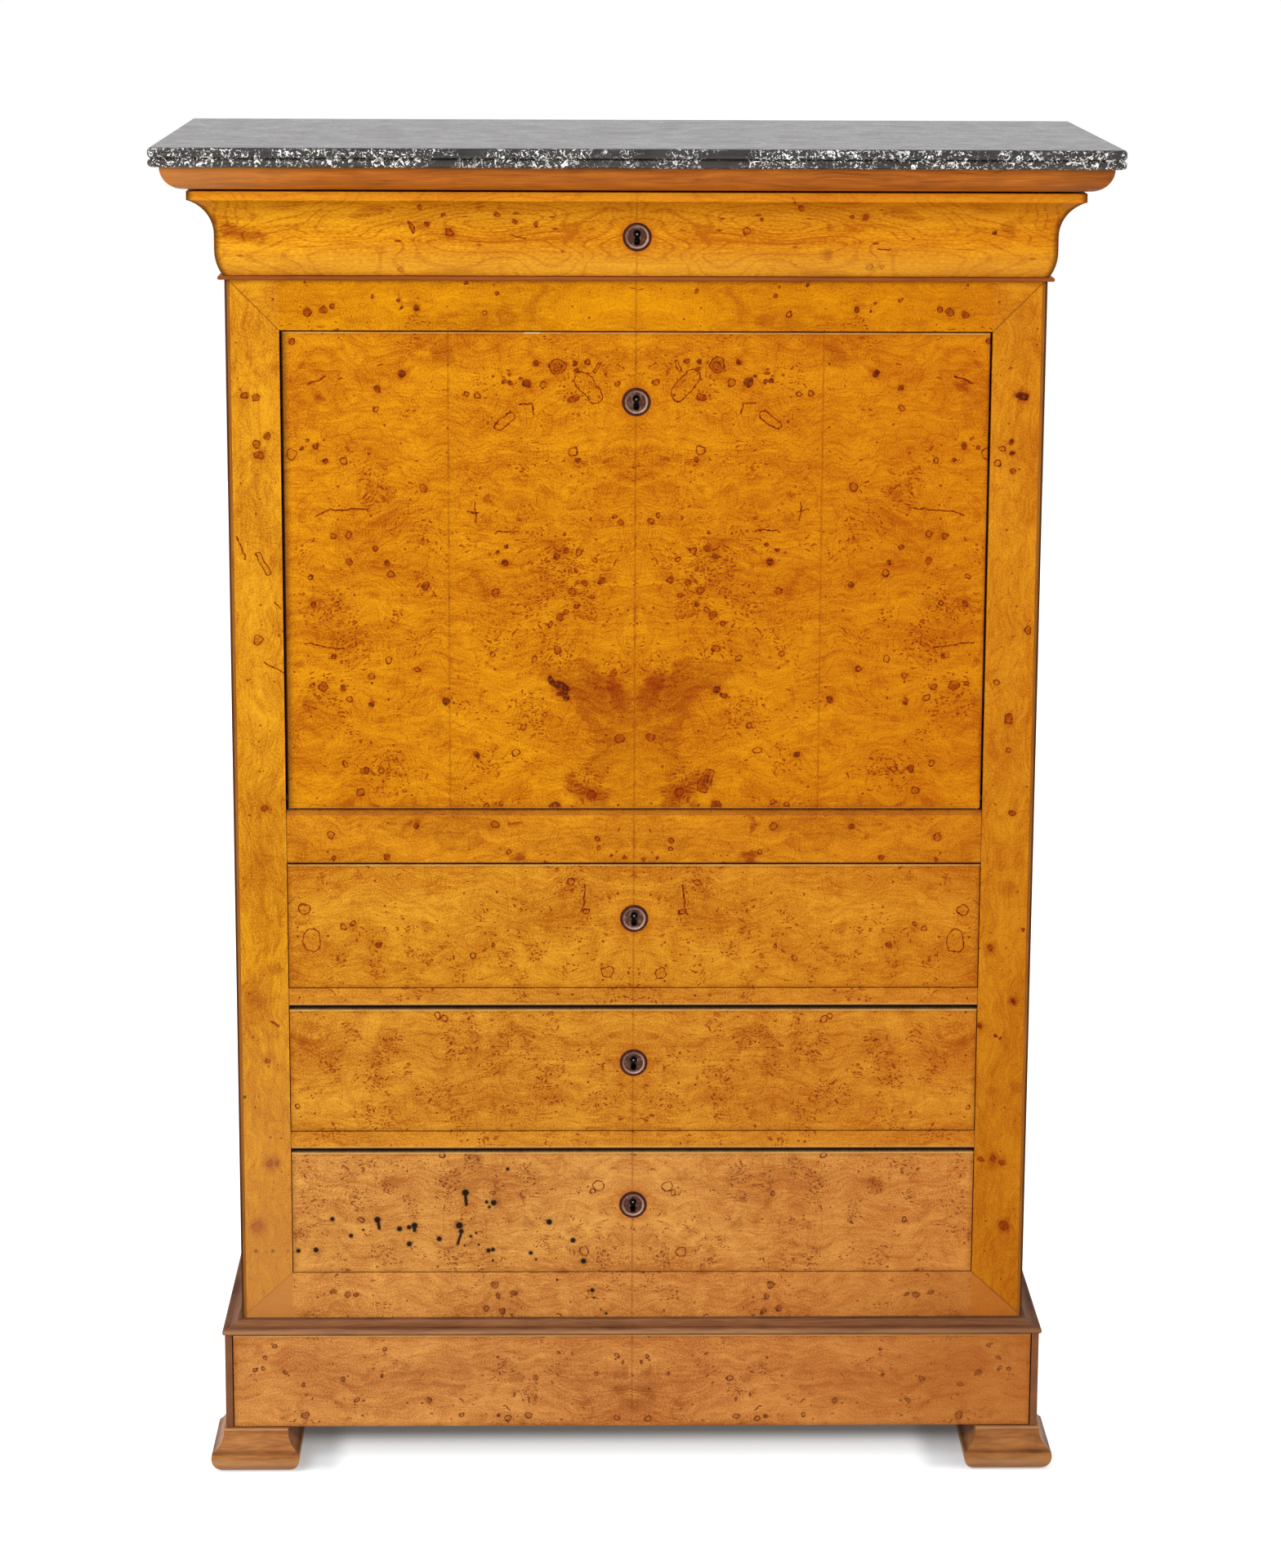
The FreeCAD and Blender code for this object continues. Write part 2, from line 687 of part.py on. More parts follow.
# Fall: a thick panel with softened edges, and iron levers let into its ends
lever_front = place("lever_front", pivot_y + lever_offset - lever_width / 2)
lever_back = place("lever_back", lever_front + lever_width)
lever_inner = place("lever_inner", fall_half - lever_thickness)
lever_bar = board("lever_bar", (lever_inner, fall_half), (lever_front, lever_back),
                  (pivot_z - lever_tail, pivot_z + lever_arm))
lever_eye = rod("lever_eye", lever_eye_radius, lever_thickness, (lever_inner, pivot_y, pivot_z), "x")
lever_pin = rod("lever_pin", pin_radius, fall_side_gap + pin_length, (fall_half, pivot_y, pivot_z), "x")
lever_right = fuse("lever_right", lever_bar, lever_eye, lever_pin)
lever_left = mirrored("lever_left", lever_right)
node(group("fall_levers", lever_right, lever_left))

fall_outline = [
    (fall_inner_face, fall_foot),
    (fall_inner_face, fall_top),
    (front_face, fall_top),
    (front_face, fall_foot + fall_foot_round, fall_foot_round),
    (front_face + fall_foot_round, fall_foot),
]
fall_blank = padded("fall_blank", "YZ_Plane", fall_outline, fall_half * 2, symmetric=True)
soften(fall_blank, fall_edge_round,
       lambda edge: edge.BoundBox.YMax < front_face.value + NEAR
       and edge.BoundBox.ZMax > fall_top.value - NEAR)
fall_key = place("fall_key", fall_top - key_drop_fall)
fall_seats, fall_mortise = lock_set("fall", front_face, fall_inner_face, fall_key, fall_top)
leather_half = fall_half - leather_margin
fall_leather = node(board("fall_leather", (-leather_half, leather_half),
                          (fall_inner_face - leather_thickness, fall_inner_face),
                          (fall_foot + leather_margin, fall_key - leather_below_key)))
node(cut("fall_panel", fall_blank, lever_right, lever_left, fall_leather, *fall_seats))

# Posts, with a slim strip let into the outer corner and a bearing plate for the lever's pin
post_blank = board("post_blank", (opening_half, half_width), (front_plane, frame_back),
                   (base_top, cornice_foot))
strip_right = board("corner_strip_right", (half_width - corner_strip, half_width),
                    (front_plane, front_plane + corner_strip), (base_top, bead_foot))
plate_blank = board("pivot_plate_blank", (opening_half, opening_half + pivot_plate_thickness),
                    (pivot_y - pivot_plate_width / 2, pivot_y + pivot_plate_width / 2),
                    (pivot_z - pivot_plate_height / 2, pivot_z + pivot_plate_height / 2))
plate_bore = rod("pivot_plate_bore", pin_radius + pin_clearance, pivot_plate_thickness,
                 (opening_half, pivot_y, pivot_z), "x")
pin_hole = rod("pivot_pin_hole", pin_radius + lever_clearance, pin_length + lever_clearance,
               (opening_half, pivot_y, pivot_z), "x")
pair("front_posts", cut("front_post_right", post_blank, strip_right, plate_blank, pin_hole))
pair("corner_strips", strip_right)
pair("pivot_plates", cut("pivot_plate_right", plate_blank, plate_bore))

# Rails between the posts
across = (-opening_half, opening_half)
frame = (front_plane, frame_back)
node(cut("top_rail", board("top_rail_blank", across, frame, (fall_head, frieze_sill)), fall_mortise))
slot_inner = lever_inner - lever_clearance
lever_slot = board("lever_slot_right", (slot_inner, opening_half),
                   (lever_front - lever_clearance, frame_back),
                   (pivot_z - lever_tail - lever_clearance, fall_sill))
mid_rail_outline = [
    (frame_back, first_head),
    (frame_back, fall_sill),
    (front_plane + mid_rail_round, fall_sill, mid_rail_round),
    (front_plane, fall_sill - mid_rail_round),
    (front_plane, first_head),
]
mid_rail_blank = padded("mid_rail_blank", "YZ_Plane", mid_rail_outline, opening_half * 2, symmetric=True)
node(cut("mid_rail", mid_rail_blank, lever_slot, mirrored("lever_slot_left", lever_slot),
         drawer_mortises["drawer_1"]))
upper_rail = board("upper_drawer_rail_blank", across, frame, (second_head, first_sill))
lower_rail = board("lower_drawer_rail_blank", across, frame, (third_head, second_sill))
node(group("drawer_rails", cut("upper_drawer_rail", upper_rail, drawer_mortises["drawer_2"]),
           cut("lower_drawer_rail", lower_rail, drawer_mortises["drawer_3"])))
node(board("bottom_rail", across, frame, (base_top, third_sill)))

# Sides, top and back of the carcass
side_right = node(board("side_panel_right", (inner_half, half_width), (frame_back, back_plane),
                        (base_top, cornice_foot)))
node(mirrored("side_panel_left", side_right))
node(cut("top_board", board("top_board_blank", (-half_width, half_width), (front_plane, back_plane),
                            (cornice_foot, cornice_top)), frieze_mortise))
back_depth = (back_plane - back_frame_thickness, back_plane)
back_stile = board("back_stile_right", (inner_half - back_frame_width, inner_half), back_depth,
                   (base_top, cornice_foot))
back_across = (back_frame_width - inner_half, inner_half - back_frame_width)
node(group("back_frame", back_stile, mirrored("back_stile_left", back_stile),
           board("back_rail_foot", back_across, back_depth, (base_top, base_top + back_frame_width)),
           board("back_rail_middle", back_across, back_depth,
                 (fall_sill - back_frame_width / 2, fall_sill + back_frame_width / 2)),
           board("back_rail_top", back_across, back_depth, (cornice_foot - back_frame_width, cornice_foot))))
inner_across = (-inner_half, inner_half)
panel_depth = (inner_back, inner_back + back_panel_thickness)
node(group("back_panels", board("back_panel_lower", inner_across, panel_depth, (base_top, fall_sill)),
           board("back_panel_upper", inner_across, panel_depth, (fall_sill, cornice_foot))))

# Boards, runners and guides inside the carcass
inside = (frame_back, inner_back)
node(board("frieze_floor", inner_across, inside, (frieze_floor_foot, frieze_sill)))
node(board("carcass_bottom", inner_across, inside, (third_sill - carcass_bottom_thickness, third_sill)))
runner_inner = inner_half - runner_width
dust_boards = [board("dust_board_1", inner_across, inside, (first_head, first_head + dust_board_thickness))]
runners = []
for name, head, sill in (("upper", second_head, first_sill), ("lower", third_head, second_sill)):
    dust_foot = (head + sill - dust_board_thickness) / 2
    dust_boards.append(board(f"dust_board_{name}", (-runner_inner, runner_inner), inside,
                             (dust_foot, dust_foot + dust_board_thickness)))
    runner = board(f"runner_{name}_right", (runner_inner, inner_half), inside, (head, sill))
    runners.extend([runner, mirrored(f"runner_{name}_left", runner)])
for name, sill in (("first", first_sill), ("second", second_sill), ("third", third_sill)):
    guide = board(f"guide_{name}_right", (opening_half + guide_clearance, inner_half), inside,
                  (sill, sill + guide_height))
    runners.extend([guide, mirrored(f"guide_{name}_left", guide)])
node(group("dust_boards", *dust_boards))
node(group("drawer_runners", *runners))

# Desk floor: its front edge is hollowed about the pivot so that the fall turns close to it
desk_board = board("desk_floor_board", inner_across, inside, (desk_underside, desk_top))
fall_reach = root(pivot_rise * pivot_rise + fall_behind_pivot * fall_behind_pivot)
desk_hollow = rod("desk_floor_hollow", fall_reach + swing_clearance, opening_half * 2,
                  (-opening_half, pivot_y, pivot_z), "x")
lever_rebate = board("lever_rebate_right", (slot_inner, opening_half),
                     (pivot_y, pivot_y + lever_tail + lever_tail_room),
                     (desk_underside, pivot_z + lever_offset + lever_width / 2 + lever_clearance))
node(cut("desk_floor", desk_board, desk_hollow, lever_rebate, mirrored("lever_rebate_left", lever_rebate)))
lining_inner = place("lining_inner", opening_half - lining_thickness)
pair("desk_linings", board("desk_lining_right", (lining_inner, opening_half), inside,
                           (desk_top, frieze_floor_foot)))

# Inner fittings: two dividers, shelves, and two small drawers on each side
fitting_front = place("fitting_front", frame_back + fitting_set_back)
fitting = (fitting_front, inner_back)
bay_half = place("bay_half", centre_bay_width / 2)
bay_inner = place("bay_inner", bay_half + fitting_thickness)
shelf_1 = place("shelf_1", desk_top + small_drawer_opening)
shelf_2 = place("shelf_2", shelf_1 + fitting_thickness + small_drawer_opening)
shelf_3 = place("shelf_3", shelf_2 + fitting_thickness + pigeonhole_height)
shelf_4 = place("shelf_4", shelf_3 + fitting_thickness + pigeonhole_height)
divider = board("desk_divider_right", (bay_half, bay_inner), fitting, (desk_top, shelf_4))
fittings = [divider, mirrored("desk_divider_left", divider),
            board("top_shelf", (-lining_inner, lining_inner), fitting,
                  (shelf_4, shelf_4 + fitting_thickness)),
            board("centre_shelf", (-bay_half, bay_half), fitting, (shelf_3, shelf_3 + fitting_thickness))]
for count, level in enumerate((shelf_1, shelf_2, shelf_3), 1):
    shelf = board(f"shelf_{count}_right", (bay_inner, lining_inner), fitting,
                  (level, level + fitting_thickness))
    fittings.extend([shelf, mirrored(f"shelf_{count}_left", shelf)])
node(group("desk_fittings", *fittings))


def small_drawer(label, low):
    """A small drawer of the right-hand bay, with a turned knob."""
    x = (bay_inner + small_drawer_gap, lining_inner - small_drawer_gap)
    z = (low + small_drawer_gap, low + small_drawer_opening - small_drawer_gap)
    front_back = fitting_front + small_front_thickness
    inner = (x[0] + small_side_thickness, x[1] - small_side_thickness)
    sides = (front_back, box_end)
    side_z = (z[0], z[1] - small_side_drop)
    knob = turned(label + "_knob", [
        (0, 0),
        (0, knob_neck_radius),
        (-knob_neck_length, knob_neck_radius),
        (-knob_neck_length - knob_collar, knob_radius, knob_round),
        (-knob_length, knob_face_radius),
        (-knob_length, 0),
    ])
    bind_base(knob, (x[0] + x[1]) / 2, fitting_front, (z[0] + z[1]) / 2)
    return group(
        label,
        board(label + "_front", x, (fitting_front, front_back), z),
        board(label + "_side_1", (x[0], inner[0]), sides, side_z),
        board(label + "_side_2", (inner[1], x[1]), sides, side_z),
        board(label + "_back", inner, (box_end - small_side_thickness, box_end), side_z),
        board(label + "_bottom", inner, (front_back, box_end - small_side_thickness),
              (z[0], z[0] + small_bottom_thickness)),
        knob,
    )


for level_name, low in (("lower", desk_top), ("upper", shelf_1 + fitting_thickness)):
    right_drawer = node(small_drawer(f"small_drawer_right_{level_name}", low))
    node(mirrored(f"small_drawer_left_{level_name}", right_drawer))

# Plinth: side boards with a lip, a back board, and a drawer between the lips
plinth_half = place("plinth_half", half_width + plinth_out)
plinth_inner = place("plinth_inner", plinth_half - plinth_side_thickness)
plinth_face = place("plinth_face", front_plane - plinth_out)
plinth_front_back = place("plinth_front_back", plinth_face + plinth_front_thickness)
plinth_levels = (foot_height, plinth_top)
plinth_blank = board("plinth_side_blank", (plinth_inner, plinth_half), (plinth_face, back_plane),
                     plinth_levels)
plinth_rebate = board("plinth_rebate", (plinth_inner, plinth_half - plinth_side_lip),
                      (plinth_face, plinth_front_back + plinth_gap), plinth_levels)
plinth_side = cut("plinth_side_right", plinth_blank, plinth_rebate)
plinth_back_face = place("plinth_back_face", back_plane - plinth_side_thickness)
plinth_back = board("plinth_back", (-plinth_inner, plinth_inner), (plinth_back_face, back_plane),
                    plinth_levels)
runner_top = place("plinth_runner_top", foot_height + plinth_runner_height)
plinth_runner = board("plinth_runner_right", (plinth_inner - plinth_runner_width, plinth_inner),
                      (plinth_front_back + plinth_gap, plinth_back_face), (foot_height, runner_top))
node(group("plinth_frame", plinth_side, mirrored("plinth_side_left", plinth_side), plinth_back,
           plinth_runner, mirrored("plinth_runner_left", plinth_runner)))
node(front_board("plinth_drawer_front", plinth_half - plinth_side_lip - plinth_gap,
                 (plinth_face, plinth_front_back), (foot_height + plinth_gap, plinth_top - plinth_gap),
                 front_edge_round))
drawer_box("plinth_drawer", plinth_inner - drawer_box_clearance,
           (plinth_front_back, plinth_back_face - drawer_back_gap),
           (runner_top + drawer_gap_under, plinth_top - plinth_gap - drawer_side_drop),
           drawer_side_thickness, drawer_bottom_thickness, drawer_bottom_rise)

# Feet: an ogee on the front and both sides of each front foot, on the sides only at the rear
foot_outer = place("foot_outer", half_width + foot_out)
foot_inner = place("foot_inner", foot_outer - foot_width)
foot_face = place("foot_face", front_plane - foot_out)
foot_back = place("foot_back", foot_face + foot_length)
foot_shoulder = foot_height - foot_fillet
foot_sides = [
    (foot_inner + foot_toe_in, 0),
    (foot_outer - foot_toe_in, 0, foot_round),
    (foot_outer + foot_crease_out, foot_crease_height, -foot_cove_round),
    (foot_outer, foot_shoulder),
    (foot_outer, foot_height),
    (foot_inner, foot_height),
    (foot_inner, foot_shoulder, -foot_cove_round),
    (foot_inner - foot_crease_out, foot_crease_height, foot_round),
]
foot_front = [
    (foot_back, 0),
    (foot_back, foot_height),
    (foot_face, foot_height),
    (foot_face, foot_shoulder, -foot_cove_round),
    (foot_face - foot_crease_out, foot_crease_height, foot_round),
    (foot_face + foot_toe_in, 0),
]
swell_room = foot_round * 2
side_shaped = padded("front_foot_sides", "XZ_Plane", foot_sides, foot_length + swell_room)
bind_base(side_shaped, y=foot_back)
front_shaped = padded("front_foot_face", "YZ_Plane", foot_front, foot_width + swell_room * 2, symmetric=True)
bind_base(front_shaped, x=(foot_inner + foot_outer) / 2)
pair("front_feet", common("front_foot_right", side_shaped, front_shaped))
rear_foot = padded("rear_foot_right", "XZ_Plane", foot_sides, rear_foot_length)
pair("rear_feet", bind_base(rear_foot, y=back_plane))

# Check every object, then write one file for each piece
doc.recompute()
for obj in doc.Objects:
    failed = {"Invalid", "Error"} & set(obj.State)
    if failed:
        raise RuntimeError(f"{obj.Label} did not build: {obj.State}")
for obj in nodes:
    if obj.Shape.isNull() or not obj.Shape.isValid() or not obj.Shape.Solids:
        raise RuntimeError(f"{obj.Label} has no valid solid")
os.makedirs("parts", exist_ok=True)
for obj in nodes:
    obj.Shape.exportStep(f"parts/{obj.Label}.step")
whole = Part.makeCompound([obj.Shape for obj in nodes]).BoundBox
print(f"{len(nodes)} pieces, {whole.XLength:.1f} x {whole.YLength:.1f} x {whole.ZLength:.1f} mm")
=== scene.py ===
# %% [markdown]
# # A fall-front secretary in burr veneer
# The solids of the cabinet are already made: 59 pieces of wood, stone, brass and iron. This lesson gives
# them their finishes, adds the small screws, and lights the whole for a portrait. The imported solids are
# loaded first and are never moved, so every later step can read its sizes from them.

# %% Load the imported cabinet
import math

import bpy
from mathutils import Matrix, Vector


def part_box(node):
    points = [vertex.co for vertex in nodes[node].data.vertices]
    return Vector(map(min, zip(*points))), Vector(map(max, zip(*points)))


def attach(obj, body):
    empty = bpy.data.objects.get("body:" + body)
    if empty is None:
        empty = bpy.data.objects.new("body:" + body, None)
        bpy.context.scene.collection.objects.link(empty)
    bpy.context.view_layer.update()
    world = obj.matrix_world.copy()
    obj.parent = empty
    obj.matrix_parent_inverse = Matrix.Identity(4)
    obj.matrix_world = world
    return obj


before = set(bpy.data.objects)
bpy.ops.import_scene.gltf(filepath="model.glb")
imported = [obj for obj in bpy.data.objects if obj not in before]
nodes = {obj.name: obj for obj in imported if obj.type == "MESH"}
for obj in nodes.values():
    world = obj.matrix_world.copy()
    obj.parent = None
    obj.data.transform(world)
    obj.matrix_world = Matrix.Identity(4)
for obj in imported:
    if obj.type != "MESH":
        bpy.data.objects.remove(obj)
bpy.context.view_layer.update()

# %% [markdown]
# ## The camera
# The portrait was taken from a little above eye level with a long lens, and the cabinet stands dead square.
# The camera's place was worked out from the corners of the cabinet, so it is set by its three directions
# rather than by eye. A small downward shift keeps the feet in the picture, as a view camera's does.

# %% Set up the portrait camera
MM = 0.001
PITCH, YAW, ROLL = (math.radians(angle) for angle in (11.399, 1.0486, 0.2559))
CAMERA_PLACE = Vector((-69.3, -4266.0, 1795.9)) * MM
scene = bpy.context.scene
scene.view_settings.view_transform = "Standard"

ahead = Vector((math.sin(YAW) * math.cos(PITCH), math.cos(YAW) * math.cos(PITCH), -math.sin(PITCH)))
level = Vector((math.cos(YAW), -math.sin(YAW), 0))
above = level.cross(ahead)
right = math.cos(ROLL) * level + math.sin(ROLL) * above
up = math.cos(ROLL) * above - math.sin(ROLL) * level

lens = bpy.data.cameras.new("portrait_lens")
lens.sensor_width = 36
lens.lens = 87.17
lens.shift_y = -0.09375
lens.clip_end = 50
camera = bpy.data.objects.new("portrait_camera", lens)
scene.collection.objects.link(camera)
turn = Matrix((right, up, -ahead)).transposed()
camera.matrix_world = Matrix.Translation(CAMERA_PLACE) @ turn.to_4x4()
scene.camera = camera
print("camera at", [round(value, 3) for value in camera.location])

# %% [markdown]
# ## Small tools for materials
# Every finish below is drawn by nodes. One function adds a node, sets it and links it, and hands back the
# socket that comes out, so a material reads like a recipe. Colours are written as a painter's hex code and
# turned to the linear values that Blender mixes.

# %% Colour and node helpers
COLOURS = {"data_type": "RGBA", "out": "Result_Color"}      # for a Mix node that mixes colours
FLAT = {"noise_dimensions": "2D"}
SOFT = {"interpolation_type": "SMOOTHSTEP"}


def linear(code):
    """Turn an sRGB hex code into linear red, green, blue and alpha."""
    shares = [int(code[place:place + 2], 16) / 255 for place in (1, 3, 5)]
    return [share / 12.92 if share <= 0.04045 else ((share + 0.055) / 1.055) ** 2.4 for share in shares] + [1]


def socket_of(sockets, word):
    """Find a socket by its place, or by its name or identifier with underscores for spaces."""
    if isinstance(word, int):
        return sockets[word]
    return next(socket for socket in sockets if word in (socket.identifier, socket.name.replace(" ", "_")))


def add(tree, kind, *feeds, out=0, **words):
    """Add a node and return one of its outputs.

    Feeds are sockets or values for its inputs, in their order. Words with a capital letter feed an input by
    its name, and the other words are the node's settings. A kind's operation follows it after a dot.
    """
    kind, _, operation = kind.partition(".")
    made = tree.nodes.new(kind if kind.startswith("NodeGroup") else "ShaderNode" + kind)
    if operation:
        made.operation = operation
    inputs = dict(enumerate(feeds))
    for word, value in words.items():
        if word[0].isupper():
            inputs[word] = value
        else:
            setattr(made, word, value)
    for word, feed in inputs.items():
        entry = socket_of(made.inputs, word)
        if isinstance(feed, bpy.types.NodeSocket):
            tree.links.new(feed, entry)
        else:
            entry.default_value = feed
    return socket_of(made.outputs, out) if made.outputs else made


def new_group(name, takes, gives):
    """Start a node group with the named inputs and outputs, and return it with the sockets that it takes."""
    group = bpy.data.node_groups.new(name, "ShaderNodeTree")
    for side, sockets in (("INPUT", takes), ("OUTPUT", gives)):
        for label, kind in sockets.items():
            group.interface.new_socket(name=label, in_out=side, socket_type="NodeSocket" + kind)
    return group, group.nodes.new("NodeGroupInput").outputs


print("helpers ready")

# %% [markdown]
# ## Where a point lies on the cabinet
# The veneers are book-matched: two leaves cut one after the other are opened like a book, so the right half
# mirrors the left. Folding the width about the middle gives that for nothing. The two leaves are never
# perfectly alike, so the right one is slid by a millimetre. All patterns are measured in millimetres.

# %% Group: place on a book-matched front
LEAF_SLIP = 1.3
PLACES = {"Leaf": "Vector", "Spot": "Vector", "Point": "Vector", "Out": "Float", "X": "Float", "Y": "Float",
          "Z": "Float"}
place_group, _ = new_group("book matched place", {}, PLACES)
metres = add(place_group, "TexCoord", out="Object")
point = add(place_group, "VectorMath.MULTIPLY", metres, (1 / MM, 1 / MM, 1 / MM))
x, y, z = add(place_group, "SeparateXYZ", point).node.outputs
folded = add(place_group, "Math.ABSOLUTE", x)
on_right = add(place_group, "Math.GREATER_THAN", x, 0)
slid = add(place_group, "Math.MULTIPLY_ADD", on_right, LEAF_SLIP, z)
leaf = add(place_group, "CombineXYZ", folded, slid)
spot = add(place_group, "CombineXYZ", x, z)
add(place_group, "NodeGroupOutput", Leaf=leaf, Spot=spot, Point=point, Out=folded, X=x, Y=y, Z=z)
print("group:", place_group.name)

# %% [markdown]
# ## Starting and finishing a material
# Each material starts by asking where its point lies, and ends in one surface shader. In between, most of the
# drawing is one move made again and again: a second colour covers the first, growing along some value such as
# a height, a distance from an edge, or a noise.

# %% Material helpers
def new_material(name):
    """Start an empty node material, and return it with its node tree and the places of a point."""
    material = bpy.data.materials.new(name)
    material.use_nodes = True
    tree = material.node_tree
    tree.nodes.clear()
    return material, tree, add(tree, "Group", node_tree=place_group).node.outputs


def finish_material(material, colour, roughness, height, bump_mm, **shader):
    """Join colour, roughness and bump to one surface shader, with plain numbers on its own sockets."""
    tree = material.node_tree
    bump = add(tree, "Bump", Strength=1, Distance=bump_mm * MM, Height=height)
    surface = add(tree, "BsdfPrincipled", Base_Color=colour, Roughness=roughness, Normal=bump, **shader)
    add(tree, "OutputMaterial", surface)
    return material


def tint(tree, under, code, along, start=0, full=1, most=1, times=None, **ramp):
    """Cover a colour with another one, from nothing where a value is at start to most where it is full."""
    share = add(tree, "MapRange", along, start, full, To_Max=most, **ramp)
    if times is not None:
        share = add(tree, "Math.MULTIPLY", share, times)
    return add(tree, "Mix", share, A_Color=under, B_Color=linear(code), **COLOURS)


def apart(tree, value, place):
    """Measure how far a value lies from a place, on either side."""
    off = add(tree, "Math.SUBTRACT", value, place)
    return add(tree, "Math.ABSOLUTE", off)


def inset(tree, where, low, high):
    """Measure how far a point on a front lies in from the nearest edge."""
    room = add(tree, "Math.SUBTRACT", high.x, where["Out"])
    below = add(tree, "Math.SUBTRACT", where["Z"], low.z)
    over = add(tree, "Math.SUBTRACT", high.z, where["Z"])
    room = add(tree, "Math.MINIMUM", room, below)
    return add(tree, "Math.MINIMUM", room, over)


def in_mm(corners):
    """Give the low and the high corner of a box in millimetres."""
    return [corner / MM for corner in corners]


def middle_of(name):
    """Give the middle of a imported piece, in millimetres."""
    low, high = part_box(name)
    return (low + high) / 2 / MM


def dress(material, *names):
    """Give the named pieces one material."""
    for name in names:
        slots = nodes[name].data.materials
        slots.clear()
        slots.append(material)


print("material helpers ready")

# %% [markdown]
# ## The burr figure
# Burr wood grows in a knot of sleeping buds, so a leaf of it shows cloudy patches, wandering grain, faint
# growth lines that run like contours on a map, and colonies of pin-sized dashes. Photographs of wood could
# be used, but a drawn figure has no edges and no repeat, and it can be steered. Each ingredient is one
# noise at the real size of what it draws.

# %% Group: burr figure, its tone
CLOUD_MM, MOTTLE_MM, GRAIN_LONG_MM, GRAIN_FINE_MM, GRITS_PER_MM = 70, 12, 34, 2.2, 0.55
DRIFT_MM, DRIFT_PUSH = 80, (38, 38, 0)      # the grain wanders this far
CONTOUR_MM, CONTOURS = 85, 120
burr_group, inside = new_group("burr figure", {"Leaf": "Vector", "Colony": "Float", "Lines": "Float"},
                               {"Tone": "Float", "Marks": "Float", "Stain": "Float"})
tree, leaf = burr_group, inside["Leaf"]
drift = add(tree, "TexNoise", leaf, Scale=1 / DRIFT_MM, Detail=2, out="Color", **FLAT)
flow = add(tree, "VectorMath.MULTIPLY_ADD", drift, DRIFT_PUSH, leaf)
squeezed = add(tree, "VectorMath.MULTIPLY", flow, (0.6, 1.3, 1))
cloud = add(tree, "TexNoise", squeezed, Scale=1 / CLOUD_MM, Detail=4, Roughness=0.58, **FLAT)
mottle = add(tree, "TexNoise", squeezed, Scale=1 / MOTTLE_MM, Detail=2, Distortion=0.6, **FLAT)
combed = add(tree, "VectorMath.MULTIPLY", flow, (1 / GRAIN_LONG_MM, 1 / GRAIN_FINE_MM, 1))
grain = add(tree, "TexNoise", combed, Scale=1, Detail=3, Roughness=0.6, **FLAT)
grit = add(tree, "TexNoise", leaf, Scale=GRITS_PER_MM, Detail=2, **FLAT)
rise = add(tree, "TexNoise", flow, Scale=1 / CONTOUR_MM, Detail=1.5, **FLAT)
steps = add(tree, "Math.MULTIPLY", rise, CONTOURS)
wave = add(tree, "Math.SINE", steps)
contour = add(tree, "MapRange", wave, 0.55, 1, To_Max=inside["Lines"], **SOFT)
tone = add(tree, "Math.SUBTRACT", 0.5, contour)
for ingredient, share in ((cloud, 1.1), (mottle, 0.72), (grain, 0.72), (grit, 1.2)):
    centred = add(tree, "Math.SUBTRACT", ingredient, 0.5)
    tone = add(tree, "Math.MULTIPLY_ADD", centred, share, tone)
print("tone:", len(tree.nodes), "nodes")

# %% Group: burr figure, its pepper, pins and stains
DASH_MM, CURL_MM, CURL_PUSH, THIN_MM = 3.2, 18, (16, 16, 0), 14
PIN_MM, STAIN_MM = 17, 30
PEPPER, PINS, STAINS = 0.6, 0.7, 0.4        # how strong each shows
twist = add(tree, "TexNoise", leaf, Scale=1 / CURL_MM, Detail=1, out="Color", **FLAT)
curled = add(tree, "VectorMath.MULTIPLY_ADD", twist, CURL_PUSH, leaf)
dashed = add(tree, "VectorMath.MULTIPLY", curled, (0.55 / DASH_MM, 1.15 / DASH_MM, 1))
bud = add(tree, "TexVoronoi", dashed, Scale=1, voronoi_dimensions="2D")
dash = add(tree, "MapRange", bud, 0.42, 0.16, To_Max=PEPPER, **SOFT)
chance = add(tree, "SeparateXYZ", bud.node.outputs["Color"])
thin = add(tree, "TexNoise", leaf, Scale=1 / THIN_MM, Detail=2, **FLAT)
crowd = add(tree, "Math.MULTIPLY", inside["Colony"], thin)
kept = add(tree, "Math.MULTIPLY", crowd, 2)
shown = add(tree, "Math.LESS_THAN", chance, kept)
pepper = add(tree, "Math.MULTIPLY", dash, shown)

pin = add(tree, "TexVoronoi", leaf, Scale=1 / PIN_MM, voronoi_dimensions="2D")
lot, girth, _ = add(tree, "SeparateXYZ", pin.node.outputs["Color"]).node.outputs
pin_size = add(tree, "Math.MULTIPLY_ADD", girth, 0.075, 0.025)
pin_edge = add(tree, "Math.DIVIDE", pin, pin_size)
pin_spot = add(tree, "MapRange", pin_edge, 1.25, 0.6, To_Max=PINS)
pin_kept = add(tree, "Math.LESS_THAN", lot, 0.17)
pins = add(tree, "Math.MULTIPLY", pin_spot, pin_kept)
marks = add(tree, "Math.MAXIMUM", pepper, pins)

warm = add(tree, "TexNoise", flow, Scale=1 / STAIN_MM, Detail=3, **FLAT)
stain = add(tree, "MapRange", warm, 0.6, 0.8, To_Max=STAINS, **SOFT)
around = add(tree, "Math.MULTIPLY_ADD", inside["Colony"], 0.12, stain)
add(tree, "NodeGroupOutput", Tone=tone, Marks=marks, Stain=around)
print("group:", burr_group.name, len(tree.nodes), "nodes")

